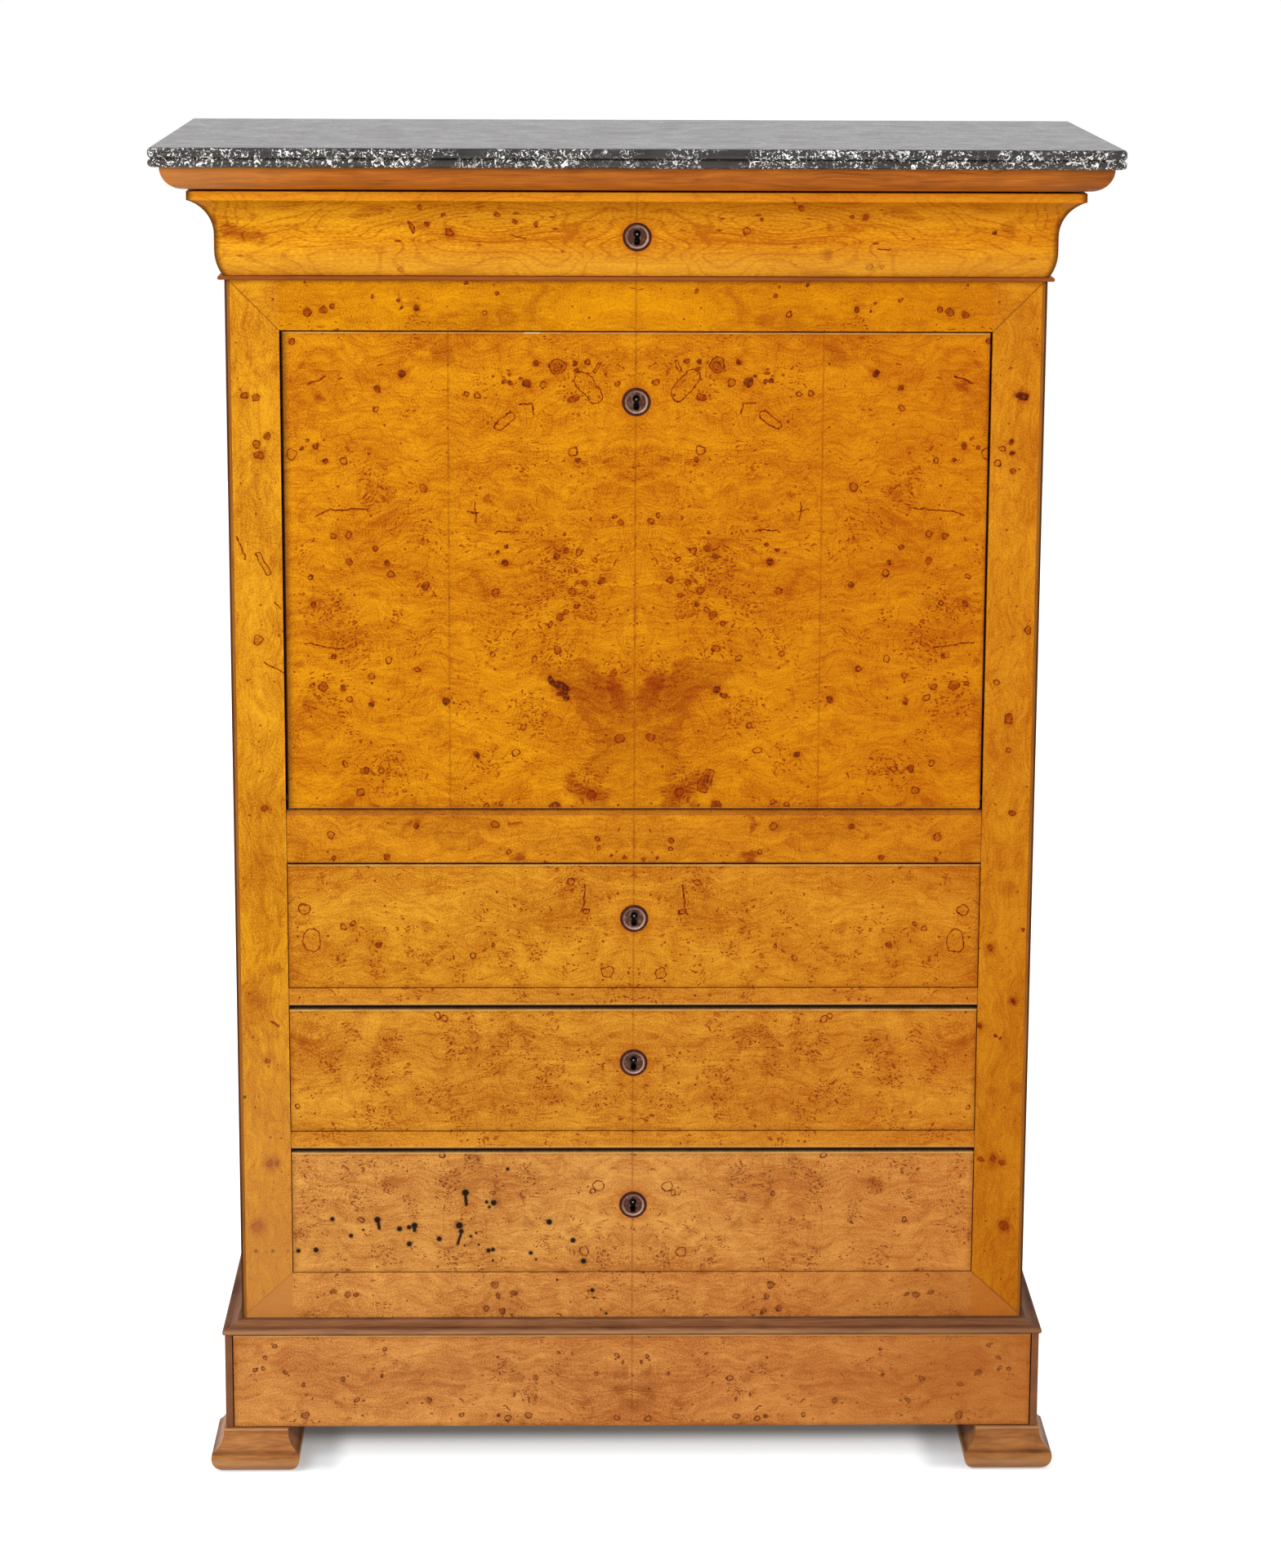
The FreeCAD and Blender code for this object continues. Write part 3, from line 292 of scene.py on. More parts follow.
# %% [markdown]
# ## Single marks
# On top of the figure sit marks that anyone would know this cabinet by: ringed eyes, outlined patches and
# short cracks. Each is a shape measured by its distance from a point or from a short line, so a few small
# groups draw a round eye, a long oval or a hairline crack. A soft version draws brown clouds and colonies.

# %% Groups: ringed and soft edges
EDGE = {"Away": "Float", "Radius": "Float", "Strength": "Float"}
rim_group, inside = new_group("dark rim", EDGE, {"Dark": "Float"})
tree = rim_group
gap = add(tree, "Math.SUBTRACT", inside["Away"], inside["Radius"])
rim = add(tree, "Math.ABSOLUTE", gap)
line = add(tree, "MapRange", rim, 1.2, 0.2, To_Max=0.85, clamp=False, **SOFT)
body = add(tree, "MapRange", gap, 0.7, -0.7, To_Max=inside["Strength"], clamp=False, **SOFT)
reach = add(tree, "Math.MULTIPLY", inside["Radius"], 1.7)
depth = add(tree, "Math.MULTIPLY_ADD", inside["Strength"], 0.2, 0.03)
halo = add(tree, "MapRange", gap, reach, 0, To_Max=depth, clamp=False, **SOFT)
dark = add(tree, "Math.MAXIMUM", line, body)
dark = add(tree, "Math.MAXIMUM", dark, halo)
add(tree, "NodeGroupOutput", Dark=dark)

soft_group, inside = new_group("soft edge", EDGE, {"Dark": "Float"})
near = add(soft_group, "Math.DIVIDE", inside["Away"], inside["Radius"])
cover = add(soft_group, "MapRange", near, 1.3, 0.3, To_Max=inside["Strength"], clamp=False, **SOFT)
add(soft_group, "NodeGroupOutput", Dark=cover)
print("edges:", rim_group.name, "and", soft_group.name)

# %% Groups: round and long shapes
SPAN = {"Leaf": "Vector", "From": "Vector", "To": "Vector"}
span_group, inside = new_group("distance from a short line", SPAN, {"Away": "Float"})
tree = span_group
span = add(tree, "VectorMath.SUBTRACT", inside["To"], inside["From"])
start = add(tree, "VectorMath.SUBTRACT", inside["Leaf"], inside["From"])
along = add(tree, "VectorMath.DOT_PRODUCT", start, span, out="Value")
length = add(tree, "VectorMath.DOT_PRODUCT", span, span, out="Value")
share = add(tree, "Math.DIVIDE", along, length)
share = add(tree, "Math.MAXIMUM", share, 0)
share = add(tree, "Math.MINIMUM", share, 1)
foot = add(tree, "VectorMath.SCALE", span, Scale=share)
away = add(tree, "VectorMath.DISTANCE", start, foot, out="Value")
add(tree, "NodeGroupOutput", Away=away)

SHAPES = {}
for soft, edge_group in ((False, rim_group), (True, soft_group)):
    for long in (False, True):
        takes = {"Leaf": "Vector", "From": "Vector", "Radius": "Float", "Strength": "Float"}
        if long:
            takes["To"] = "Vector"
        tree, inside = new_group(("soft " if soft else "ringed ") + ("streak" if long else "spot"), takes,
                                 {"Dark": "Float"})
        if long:
            away = add(tree, "Group", **{name: inside[name] for name in SPAN}, node_tree=span_group)
        else:
            away = add(tree, "VectorMath.DISTANCE", inside["Leaf"], inside["From"], out="Value")
        dark = add(tree, "Group", away, inside["Radius"], inside["Strength"], node_tree=edge_group)
        add(tree, "NodeGroupOutput", Dark=dark)
        SHAPES[soft, long] = tree


def lay(tree, under, place, rows, soft=False):
    """Lay marks over what is there, the darker winning. A row is x, z, radius, strength, or has two ends."""
    for *ends, radius, strength in rows:
        spots = {word: (*end, 0) for word, end in (("From", ends[:2]), ("To", ends[2:])) if end}
        shape = add(tree, "Group", Leaf=place, Radius=radius, Strength=strength, **spots,
                    node_tree=SHAPES[soft, "To" in spots])
        under = add(tree, "Math.MAXIMUM", under, shape)
    return under


print("shapes:", ", ".join(shape.name for shape in SHAPES.values()))

# %% [markdown]
# ## Burr veneer
# Thin leaves of honey-coloured burr are glued over plain boards and wax-polished. The right half is painted a
# little redder and darker, as painted shade where the light from the left falls off. On some fronts the edges
# are painted darker, partly dirt where fingers and dust collect and partly painted shade, with a pale line of
# wear and painted highlight along the top, and a hairline shows where two leaves meet. The recipe below mixes
# gold and amber by the figure's tone, then lays painted shade, stains, marks, dark edges and seams over it.
# Behind the thin veneer the same piece is bare wood, so the recipe stops where the front face ends. Round a
# keyhole the polish is darker from handling, and inside the keyhole the wood is painted black, as painted
# shade.

# %% A function for veneered fronts
EDGE_DIRT_AND_SHADE_MM, COLONY_MM, SPECKLE_MM = 7, 38, 4
LITTLE, MUCH = (11, 6.5), (26, 34)     # how outlines are shaken: reach and wobble
RING_MM = 5         # from one growth ring to the next
RUST = ("#963A02", "#962E00", "#3C0E02")        # stains, marks and the darkest marks
OAK = ("#B48E60", "#80603C")


def shake(tree, spot, reach, wobble):
    """Make a push to any side that changes within a reach, to roughen outlines."""
    roam = add(tree, "TexNoise", spot, Scale=1 / reach, Detail=3, out="Color", **FLAT)
    return add(tree, "VectorMath.MULTIPLY_ADD", roam, (wobble, wobble, 0), (-wobble / 2, -wobble / 2, 0))


def burr_veneer(name, gold, amber, seams=(0,), colonies=(), marks=(), patches=(), rings=(), own=(),
                smudges=(), ink=(), loose=0.25, lines=0.12, backing=None, edges=None, turned=None, wear_and_shade=None,
                rust=RUST, board=OAK, keyhole=None):
    """Make one veneer material: two colours, seam places, and lists of marks in millimetres.

    Colonies, marks, patches and rings mirror with the leaves. Own marks, smudges and ink lie on one side
    only. Edges are the corners of a box whose edges are painted darker, partly dirt and partly painted shade,
    with a pale line along the top that is partly wear and partly painted highlight. The two function
    arguments lay the grain another way and add the wear, painted light and painted shade of one piece.
    """
    material, tree, where = new_material(name)
    spot = where["Spot"]
    leaf = turned(tree, where) if turned else where["Leaf"]
    little, much = shake(tree, spot, *LITTLE), shake(tree, spot, *MUCH)
    rough_leaf = add(tree, "VectorMath.ADD", leaf, little)
    rough_spot = add(tree, "VectorMath.ADD", spot, little)
    loose_leaf = add(tree, "VectorMath.ADD", leaf, much)

    wander = add(tree, "TexNoise", leaf, Scale=1 / COLONY_MM, Detail=3, **FLAT)
    colony = add(tree, "MapRange", wander, 0.53, 0.72, To_Max=loose * 2)
    colony = lay(tree, colony, loose_leaf, colonies, soft=True)
    figure = add(tree, "Group", Leaf=leaf, Colony=colony, Lines=lines, node_tree=burr_group).node.outputs
    stain = lay(tree, figure["Stain"], loose_leaf, patches, soft=True)
    stain = lay(tree, stain, rough_spot, smudges, soft=True)
    marked = lay(tree, figure["Marks"], rough_leaf, marks)
    marked = lay(tree, marked, rough_spot, own)
    speckle = add(tree, "TexNoise", spot, Scale=1 / SPECKLE_MM, Detail=3, **FLAT)
    uneven = add(tree, "Math.MULTIPLY_ADD", speckle, 1.7, 0.12)
    marked = add(tree, "Math.MULTIPLY", marked, uneven)

    tone = figure["Tone"]
    for x, z, radius in rings:
        away = add(tree, "VectorMath.DISTANCE", loose_leaf, (x, z, 0), out="Value")
        turns = add(tree, "Math.MULTIPLY", away, 2 * math.pi / RING_MM)
        ripple = add(tree, "Math.SINE", turns)
        fade = lay(tree, 0.0, rough_leaf, [(x, z, radius, 0.16)], soft=True)
        tone = add(tree, "Math.MULTIPLY_ADD", ripple, fade, tone)
    tone = add(tree, "Math.MULTIPLY", tone, 1, use_clamp=True)
    colour = add(tree, "Mix", tone, A_Color=linear(amber), B_Color=linear(gold), **COLOURS)
    # The right half is painted redder and darker: painted shade, where the light from the left falls off.
    colour = tint(tree, colour, "#BE5204", where["X"], -100, 450, 0.28)
    patchy = add(tree, "Math.MULTIPLY_ADD", tone, -0.7, 1.2)
    colour = tint(tree, colour, rust[0], stain, times=patchy)
    colour = tint(tree, colour, rust[1], marked, 0, 0.5, 0.75)
    colour = tint(tree, colour, rust[2], marked, 0.5, 1, 0.85)
    # Near the box's edges the front is painted darker, partly dirt and partly painted shade, and a pale line
    # along the top edge is partly wear and partly painted highlight.
    if edges:
        low, high = edges
        room = inset(tree, where, low, high)
        colour = tint(tree, colour, "#6A2A06", room, EDGE_DIRT_AND_SHADE_MM, 0, 0.6, times=wander, **SOFT)
        colour = tint(tree, colour, "#F2C070", where["Z"], high.z - 2, high.z - 0.8, 0.9, times=wander)
    for seam in seams:
        off = apart(tree, where["X"], seam - 0.6)
        colour = tint(tree, colour, "#7A2E04", off, 1.7, 0.2, 0.75, times=wander)
    if ink:
        colour = tint(tree, colour, "#1E130C", lay(tree, 0.0, spot, ink))
    if wear_and_shade:
        colour = wear_and_shade(tree, where, colour)
    if backing:
        bare = add(tree, "MapRange", where["Y"], backing - 0.4, backing + 0.4)
        behind = add(tree, "Mix", tone, A_Color=linear(board[1]), B_Color=linear(board[0]), **COLOURS)
        colour = add(tree, "Mix", bare, A_Color=colour, B_Color=behind, **COLOURS)
    # Round a keyhole the polish is darker from handling; inside the keyhole the wood is painted black, as
    # painted shade.
    if keyhole:
        away = add(tree, "VectorMath.DISTANCE", spot, (keyhole.x, keyhole.z, 0), out="Value")
        colour = tint(tree, colour, "#B44E02", away, 27, 15, 0.4, **SOFT)
        colour = tint(tree, colour, "#120804", away, 12, 11, 0.97)
    rough = add(tree, "Math.MULTIPLY_ADD", tone, -0.14, 0.5)
    height = add(tree, "Math.MULTIPLY_ADD", figure["Marks"], -1, tone)
    return finish_material(material, colour, rough, height, 0.12, Specular_IOR_Level=0.05)


print("burr_veneer ready")

# %% [markdown]
# ## The fall
# Four leaves cover the fall, two and two about the middle, with seams at the quarters. Its figure is
# the liveliest of the cabinet: big eyes near the top, a belt of small ones half way down, and a brown figure
# like a tree at the foot. The lists give each mark's distance from the middle, its height, its radius and
# its strength, and a long mark has two ends.

# %% Marks on the fall
FALL_EYES = [
    (86, 1269, 8.4, .4), (86, 1268, 4.6, .5), (108, 1272, 3.1, .8), (67, 1273, 2.7, .8), (53, 1273, 2.5, .6),
    (65, 1264, 2.3, .8), (143, 1252, 2.5, .7), (137, 1251, 2.1, .7), (138, 1260, 1.8, .6),
    (126, 1256, 1.8, .7), (119, 1250, 4.7, .8), (101, 1249, 3.6, .3), (21, 1250, 2.7, .5),
    (185, 1238, 2.3, .3), (173, 1237, 3.1, .25), (69, 1175, 5, .05), (64, 1165, 2.3, .7),
    (232, 1135, 4.7, .4), (24, 1103, 2.3, .1), (16, 1097, 2.9, .5), (331, 1081, 3.1, .5),
    (314, 1083, 3.2, .2), (285, 1068, 2.7, .5), (314, 1053, 3.1, .5), (272, 1051, 2.7, .8),
    (254, 1260, 3.9, .9), (281, 1244, 3.3, .7), (283, 1222, 3.1, .4), (373, 1295, 3.1, .6),
    (349, 1181, 2.6, .7), (364, 1178, 2.1, .8), (357, 1188, 1.5, .2), (375, 1172, 5.7, .1),
    (319, 1164, 3.1, .15), (339, 1164, 1.8, .9), (76, 1066, 3.1, .5), (62, 1064, 3.2, .3),
    (86, 1058, 3.6, .7), (144, 1052, 3.2, .8), (45, 1055, 2.3, .1), (141, 1070, 2.1, .7),
    (151, 1064, 1.8, .8), (356, 1036, 2.1, .2), (354, 1005, 3.3, .6), (328, 1006, 2.6, .3),
    (231, 1026, 3.6, .7), (268, 1039, 3.1, .3), (37, 1032, 3.6, .6), (56, 1029, 2.9, .5), (70, 1020, 3.6, .3),
    (48, 1014, 2.3, .3), (65, 1004, 2.3, .6), (76, 998, 3.3, .4), (83, 992, 3.9, .5), (94, 983, 2.6, .4),
    (154, 1019, 3.9, .4), (271, 943, 3.6, .15), (240, 932, 3.1, .15), (332, 946, 2.3, .8),
    (344, 913, 4.9, .5), (356, 915, 2.3, .4), (322, 911, 2.9, .6), (314, 899, 3.3, .2), (290, 924, 3.1, .3),
    (291, 894, 2.6, .8), (209, 897, 3.6, .8), (157, 949, 2.6, .3), (111, 944, 3.1, .3), (86, 954, 3.6, .5),
    (17, 854, 4.4, .5), (123, 867, 3.1, .15), (132, 839, 3.6, .15), (175, 835, 3.3, .8), (321, 825, 3.3, .15),
    (299, 818, 4.1, .7), (280, 818, 2.6, .2), (304, 793, 4.1, .2), (48, 791, 4.7, .5), (165, 778, 2.6, .2),
    (149, 780, 2.6, .2), (88, 776, 5.7, .7)]
FALL_LONGS = [      # from, to, radius, strength: outlined ovals, then cracks
    (59, 1255, 45, 1237, 8.5, .06), (150, 1203, 136, 1214, 4.4, .05), (45, 1263, 42, 1271, 1.7, .1),
    (71, 1233, 66, 1235, 2.6, .5), (350, 1104, 334, 1110, .1, 1), (334, 1110, 293, 1111, .1, 1),
    (126, 1227, 114, 1228, .1, 1), (114, 1228, 111, 1216, .1, 1), (176, 1117, 175, 1097, .1, 1),
    (185, 1109, 172, 1108, .1, 1), (357, 1249, 338, 1257, .1, .8), (364, 962, 321, 955, .1, .8),
    (152, 1087, 127, 1087, .1, .8)]
FALL_PATCHES = [
    (59, 1270, 4.5, .5), (29, 1166, 5.4, .8), (37, 1175, 6.3, .3), (158, 1126, 5.4, .8), (360, 1268, 5.4, .6),
    (347, 1240, 8.1, .9), (296, 1149, 3.6, .6), (274, 1156, 5.4, .4), (293, 1129, 5.4, .5),
    (274, 1128, 7.2, .6), (211, 1281, 12.6, .6), (232, 1290, 8.1, .5), (316, 1008, 8.1, .4),
    (360, 894, 9, .6), (370, 939, 6.3, .6), (105, 1042, 16.2, .3), (78, 1051, 18, .35),
    (80, 925, 12, 879, 19, .6), (62, 934, 30, 910, 12, .75), (26, 919, 8, 889, 12, .85),
    (14, 885, 10, 777, 40, .25), (6, 855, 4, 777, 20, .3), (30, 855, 44, 805, 16, .5),
    (66, 802, 40, 781, 15, .95), (60, 885, 36, 855, 9, .5)]
FALL_COLONIES = [
    (288, 1135, 23, .8), (314, 1169, 14, .5), (239, 1087, 27, .5), (208, 1058, 9, .8), (78, 1042, 38, .9),
    (58, 1010, 31, .8), (123, 1083, 22, .5), (38, 1051, 27, .5), (338, 1001, 27, .8), (314, 960, 27, .8),
    (266, 990, 11, .8), (123, 1169, 20, .4), (69, 1248, 36, .35), (167, 1250, 20, .5), (119, 877, 29, .7),
    (87, 951, 22, .8), (155, 829, 16, .7), (275, 814, 27, .7), (313, 854, 13, .5), (51, 803, 27, .6),
    (29, 921, 27, .6), (146, 960, 20, .5), (231, 1026, 13, .6), (195, 894, 16, .5), (110, 1001, 32, .6),
    (356, 1001, 22, .7), (344, 905, 27, .6)]
FALL_OWN = [        # a black knot on the left leaf, two eyes and a ringed knot on the right one
    (-94, 922, -84, 913, 3, 1), (-86, 916, -78, 911, 4.4, 1), (-80, 911, -76, 901, 3.2, .9),
    (-84, 905, 1.8, .8), (91, 910, 4.2, .9), (98, 904, 3, .8), (81, 813, 76, 800, 6.5, .45),
    (80, 811, 77, 803, 3, .7)]
print("fall:", len(FALL_EYES), "eyes,", len(FALL_LONGS), "ovals and cracks,", len(FALL_COLONIES), "colonies")

# %% Veneer the fall
FALL_SEAM = 204
SLIDE_UP, SLIDE_OUT = 3.2, 0.025
FALL_BOX = in_mm(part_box("fall_panel"))


def fall_leaf(tree, where):
    """Slide the right-hand leaves up and outwards a little, as they lie on this fall."""
    on_right = add(tree, "Math.GREATER_THAN", where["X"], 0)
    upwards = add(tree, "Math.MULTIPLY", on_right, -SLIDE_UP)
    outwards = add(tree, "Math.MULTIPLY", where["X"], -SLIDE_OUT)
    outwards = add(tree, "Math.MINIMUM", outwards, 0)
    slide = add(tree, "CombineXYZ", outwards, upwards)
    return add(tree, "VectorMath.ADD", where["Leaf"], slide)


def fall_edges(tree, where, colour):
    """Paint the post's shadow along the fall's left edge and shade into its side joints, paint a highlight
    along its foot, and chip its top edge.
    """
    low, high = FALL_BOX
    colour = tint(tree, colour, "#4A2008", where["X"], low.x + 11, low.x, 0.6, **SOFT)
    for edge, wide in ((low.x, 2.2), (high.x, -1.4)):
        colour = tint(tree, colour, "#1E0C04", where["X"], edge + wide, edge + wide / 2, 0.9)
    colour = tint(tree, colour, "#F0C070", where["Z"], low.z + 2, low.z + 0.8, 0.45)
    chip = lay(tree, 0.0, where["Spot"], [(-121, high.z, -106, high.z, 0.5, 1)])
    return tint(tree, colour, "#EAD9B8", chip)


fall_veneer = burr_veneer(
    "burr_veneer_fall", "#EA9C0E", "#B05602", seams=(-FALL_SEAM, 0, FALL_SEAM), colonies=FALL_COLONIES,
    marks=FALL_EYES + FALL_LONGS, patches=FALL_PATCHES, own=FALL_OWN, loose=0.12, lines=0.16, backing=-164,
    turned=fall_leaf, edges=FALL_BOX, wear_and_shade=fall_edges, board=("#C8924E", "#98622E"),
    keyhole=middle_of("fall_escutcheon"))
dress(fall_veneer, "fall_panel")
print(fall_veneer.name, "has", len(fall_veneer.node_tree.nodes), "nodes")

# %% [markdown]
# ## The long drawers
# The three drawers share one stock of veneer. The first has a few ringed eyes, the second shows ribbons of
# pepper, and the third has been splashed with ink, which never mirrors. A splash is a round head, and where
# it ran, a thin tail.

# %% Marks on the drawers
DRAWER_MARKS = {
    "drawer_1": [(368, 659, 6.3, .15), (325, 638, 3.1, .2), (314, 643, 2.5, .2), (286, 618, 3.1, .6),
                 (180, 604, 3.2, .2), (158, 618, 1.8, .3), (30, 586, 6.3, .15), (70, 691, 3.6, .2),
                 (53, 657, 3.1, .2), (360, 627, 360, 619, 9, .03), (54, 687, 58, 655, .1, .8)],
    "drawer_2": [(221, 535, 3.6, .05), (213, 532, 3.6, .05), (379, 428, 2.2, .1)],
    "drawer_3": [(55, 256, 5.2, .05), (39, 334, 5.7, .03), (46, 327, 2.9, .03), (159, 326, 2.3, .1),
                 (309, 294, 2.6, .2), (216, 371, 2.9, .05)]}
DRAWER_COLONIES = {
    "drawer_1": [(329, 599, 13, .9), (291, 595, 13, .9), (243, 604, 13, .8), (196, 589, 14, .8),
                 (109, 613, 14, .9), (129, 634, 11, .8), (142, 600, 13, .8), (73, 589, 13, .8),
                 (69, 694, 18, .8), (231, 637, 9, .6), (169, 648, 18, .4), (270, 653, 18, .4),
                 (32, 624, 13, .5)],
    "drawer_2": [(318, 516, 14, .9), (271, 503, 15, 1), (282, 480, 14, .9), (256, 473, 14, .9),
                 (292, 459, 16, .9), (364, 446, 9, 1), (338, 473, 16, .8), (209, 510, 10, .9),
                 (204, 491, 11, 1), (186, 497, 10, 1), (188, 534, 12, 1), (179, 518, 10, 1),
                 (155, 496, 11, 1), (146, 512, 9, 1), (124, 508, 12, 1), (114, 490, 10, 1),
                 (104, 464, 13, .9), (84, 470, 11, .8), (210, 450, 14, .9), (194, 422, 13, .8),
                 (137, 423, 11, .8), (96, 432, 16, .8), (91, 523, 11, .8), (41, 491, 11, .7),
                 (39, 476, 9, .7), (235, 438, 14, .7), (290, 416, 18, .7), (13, 414, 9, .8)],
    "drawer_3": [(277, 337, 13, 1), (211, 334, 13, 1), (182, 362, 12, 1), (310, 317, 12, .9),
                 (208, 318, 10, .9), (253, 306, 12, .8), (151, 338, 10, .9), (120, 349, 15, .8),
                 (383, 277, 10, 1), (320, 352, 15, .8), (367, 309, 10, .7), (102, 267, 13, .8),
                 (78, 253, 12, .8), (204, 248, 15, .7), (357, 284, 10, .7), (34, 278, 6, .7),
                 (60, 327, 7, .7), (282, 256, 15, .7), (104, 295, 8, .7), (34, 248, 13, .8),
                 (177, 295, 10, .7)]}
DRAWER_PATCHES = {
    "drawer_1": [(109, 613, 10, .3), (69, 694, 12, .3)],
    "drawer_2": [(282, 510, 262, 495, 12, .25), (292, 475, 280, 460, 11, .2), (206, 508, 204, 475, 9, .27),
                 (190, 535, 176, 495, 9, .3), (157, 485, 148, 513, 8, .3), (130, 517, 112, 495, 10, .28),
                 (338, 475, 322, 513, 10, .12), (100, 465, 84, 473, 9, .2), (212, 445, 192, 423, 9, .15)],
    "drawer_3": [(123, 316, 4.2, .7), (211, 339, 10, .3), (182, 362, 10, .35), (277, 337, 9, .35),
                 (383, 277, 7, .5)]}
DRAWER_RINGS = {"drawer_1": [(380, 645, 24)], "drawer_2": [(352, 510, 30)],
                "drawer_3": [(374, 342, 30), (330, 323, 22)]}
INK_HEADS = [
    (-190, 326, 2.9), (-290, 294, 2.6), (-197, 287, 2.9), (-195, 280, 2.1), (-248, 287, 2.6),
    (-254, 285, 1.8), (-265, 283, 2.1), (-254, 265, 2.1), (-220, 271, 2.1), (-341, 295, 1.8),
    (-320, 275, 1.6), (-306, 282, .8), (-360, 258, 2.1), (-380, 257, 1.8), (-142, 354, 1.3), (-158, 314, 2.4),
    (-166, 315, 1.3), (-163, 309, 1.1), (-95, 291, 2.4), (-68, 269, 2.1), (-56, 244, 2.2), (-164, 257, 1.8),
    (-159, 258, 1.6), (-116, 254, 1.6), (-184, 274, 1.1), (-178, 278, .8), (-159, 245, .8), (-110, 246, .8),
    (-175, 264, .8), (-191, 263, .6)]
INK_TAILS = [(-190, 323, -189, 312, 1.1), (-289, 291, -288, 284, 1.2), (-195, 278, -199, 265, .9),
             (-248, 285, -248, 281, 1.3)]
print("drawers:", {name: len(rows) for name, rows in DRAWER_COLONIES.items()}, "colonies")

# %% Veneer the drawers
BROWNER = ("#8E4618", "#863C18", "#401A0E")
DRAWER_TONES = {"drawer_1": ("#EBA328", "#AE5B08", RUST), "drawer_2": ("#EBA531", "#AE5A0E", RUST),
                "drawer_3": ("#EDAA52", "#B06428", BROWNER)}
INK_SPREAD = 1.25
INK = {"drawer_3": [(*ends, INK_SPREAD * radius, 1) for *ends, radius in INK_HEADS + INK_TAILS]}
for name, (gold, amber, rust) in DRAWER_TONES.items():
    material = burr_veneer("burr_veneer_" + name, gold, amber, colonies=DRAWER_COLONIES[name],
                           marks=DRAWER_MARKS[name], patches=DRAWER_PATCHES[name], rings=DRAWER_RINGS[name],
                           loose=0.2, backing=-164, ink=INK.get(name, ()), rust=rust,
                           edges=in_mm(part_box(name + "_front")), keyhole=middle_of(name + "_escutcheon"))
    dress(material, name + "_front")
    print(material.name, "has", len(material.node_tree.nodes), "nodes")

# %% [markdown]
# ## Frieze, rails, posts, plinth and sides
# The frame around the fall is veneered too. On the posts the grain stands upright, and at the four outer
# corners the veneer is mitred, so beyond the slanting joint the grain lies flat again. The sides use the same
# stock, read along the depth of the cabinet instead of its width.

# %% How the grain lies on the frame
POST_INNER, POST_OUTER = 387, 445
MITRES = ((1307.7, 1366), (230.4, 177))     # the joints' inner and outer heights, at the top and at the foot


def above_mitres(tree, where):
    """Measure how far a point on a post lies above the upper and the lower mitre."""
    out = add(tree, "MapRange", where["Out"], POST_INNER, POST_OUTER, clamp=False)
    joints = [add(tree, "Math.MULTIPLY_ADD", out, outer - inner, inner) for inner, outer in MITRES]
    return [add(tree, "Math.SUBTRACT", where["Z"], joint) for joint in joints]


def upright(tree, where):
    """Turn the grain upright on the posts, but keep it flat beyond the mitres."""
    over_top, over_foot = above_mitres(tree, where)
    beyond = add(tree, "Math.GREATER_THAN", over_top, 0)
    under = add(tree, "Math.LESS_THAN", over_foot, 0)
    flat = add(tree, "Math.MAXIMUM", beyond, under)
    tall = add(tree, "CombineXYZ", where["Z"], where["X"])
    return add(tree, "Mix", flat, A_Vector=tall, B_Vector=where["Leaf"], out="Result_Vector",
               data_type="VECTOR")


def drawn_out(tree, where):
    """Draw the frieze's figure out into long level waves."""
    return add(tree, "VectorMath.MULTIPLY", where["Leaf"], (0.4, 1.1, 1))


def along_depth(tree, where):
    """Read the figure along the depth of the cabinet."""
    return add(tree, "CombineXYZ", where["Y"], where["Z"])


print("grain ready")

# %% Joints, wear, and painted light and shade of the frame
MID_EDGE = 772.5
RAIL_EDGES = 378.7, 547
FRIEZE_MITRE = 278      # on the frieze's slanting end joints, x and y add up to this


def post_joints_and_shade(tree, where, colour):
    """Draw the mitres, paint the left post's foot paler as painted light, and paint the right post's lower
    half redder and darker as painted shade.
    """
    over_top, over_foot = above_mitres(tree, where)
    colour = tint(tree, colour, "#C87C38", over_foot, 0, -0.6, 0.65)
    for over in (over_top, over_foot):
        colour = tint(tree, colour, "#5C3012", apart(tree, over, 0), 1.5, 0.3, 0.6)
    for side, start, full, most, code in ((-1, 605, 235, 0.55, "#C88448"), (1, 905, 305, 0.3, "#963C02")):
        here = add(tree, "Math.MULTIPLY", where["X"], side, use_clamp=True)
        colour = tint(tree, colour, code, where["Z"], start, full, most, times=here)
    return colour


def rail_ends(tree, where, colour):
    """Draw the dark joints where a rail meets the posts."""
    return tint(tree, colour, "#54290F", where["Out"], POST_INNER - 1.4, POST_INNER - 0.4, 0.7)


def rail_wear_and_shade(tree, where, colour):
    """Paint a pale line of wear and painted highlight along the lower edges of the thin rails, where the
    drawers slide past, above a dark line of painted shade that widens the gap over each drawer.
    """
    for edge in RAIL_EDGES:
        past = add(tree, "Math.GREATER_THAN", where["Z"], edge - 5)
        colour = tint(tree, colour, "#F0BE78", where["Z"], edge + 3.2, edge + 1.8, 0.4, times=past)
        colour = tint(tree, colour, "#1E0C06", where["Z"], edge + 1.6, edge + 0.9, 0.9, times=past)
    return rail_ends(tree, where, colour)


def worn_edge_and_shade(tree, where, colour):
    """Rub the polish off the rounded top edge of the middle rail, where the fall comes down, and paint a line
    of shade along its foot, over the gap above the first drawer.
    """
    colour = tint(tree, colour, "#8A4A1C", where["Z"], MID_EDGE - 6.2, MID_EDGE - 5, 0.5)
    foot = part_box("mid_rail")[0].z / MM
    colour = tint(tree, colour, "#2C1206", where["Z"], foot + 1.5, foot + 0.7, 0.9)
    return rail_ends(tree, where, colour)


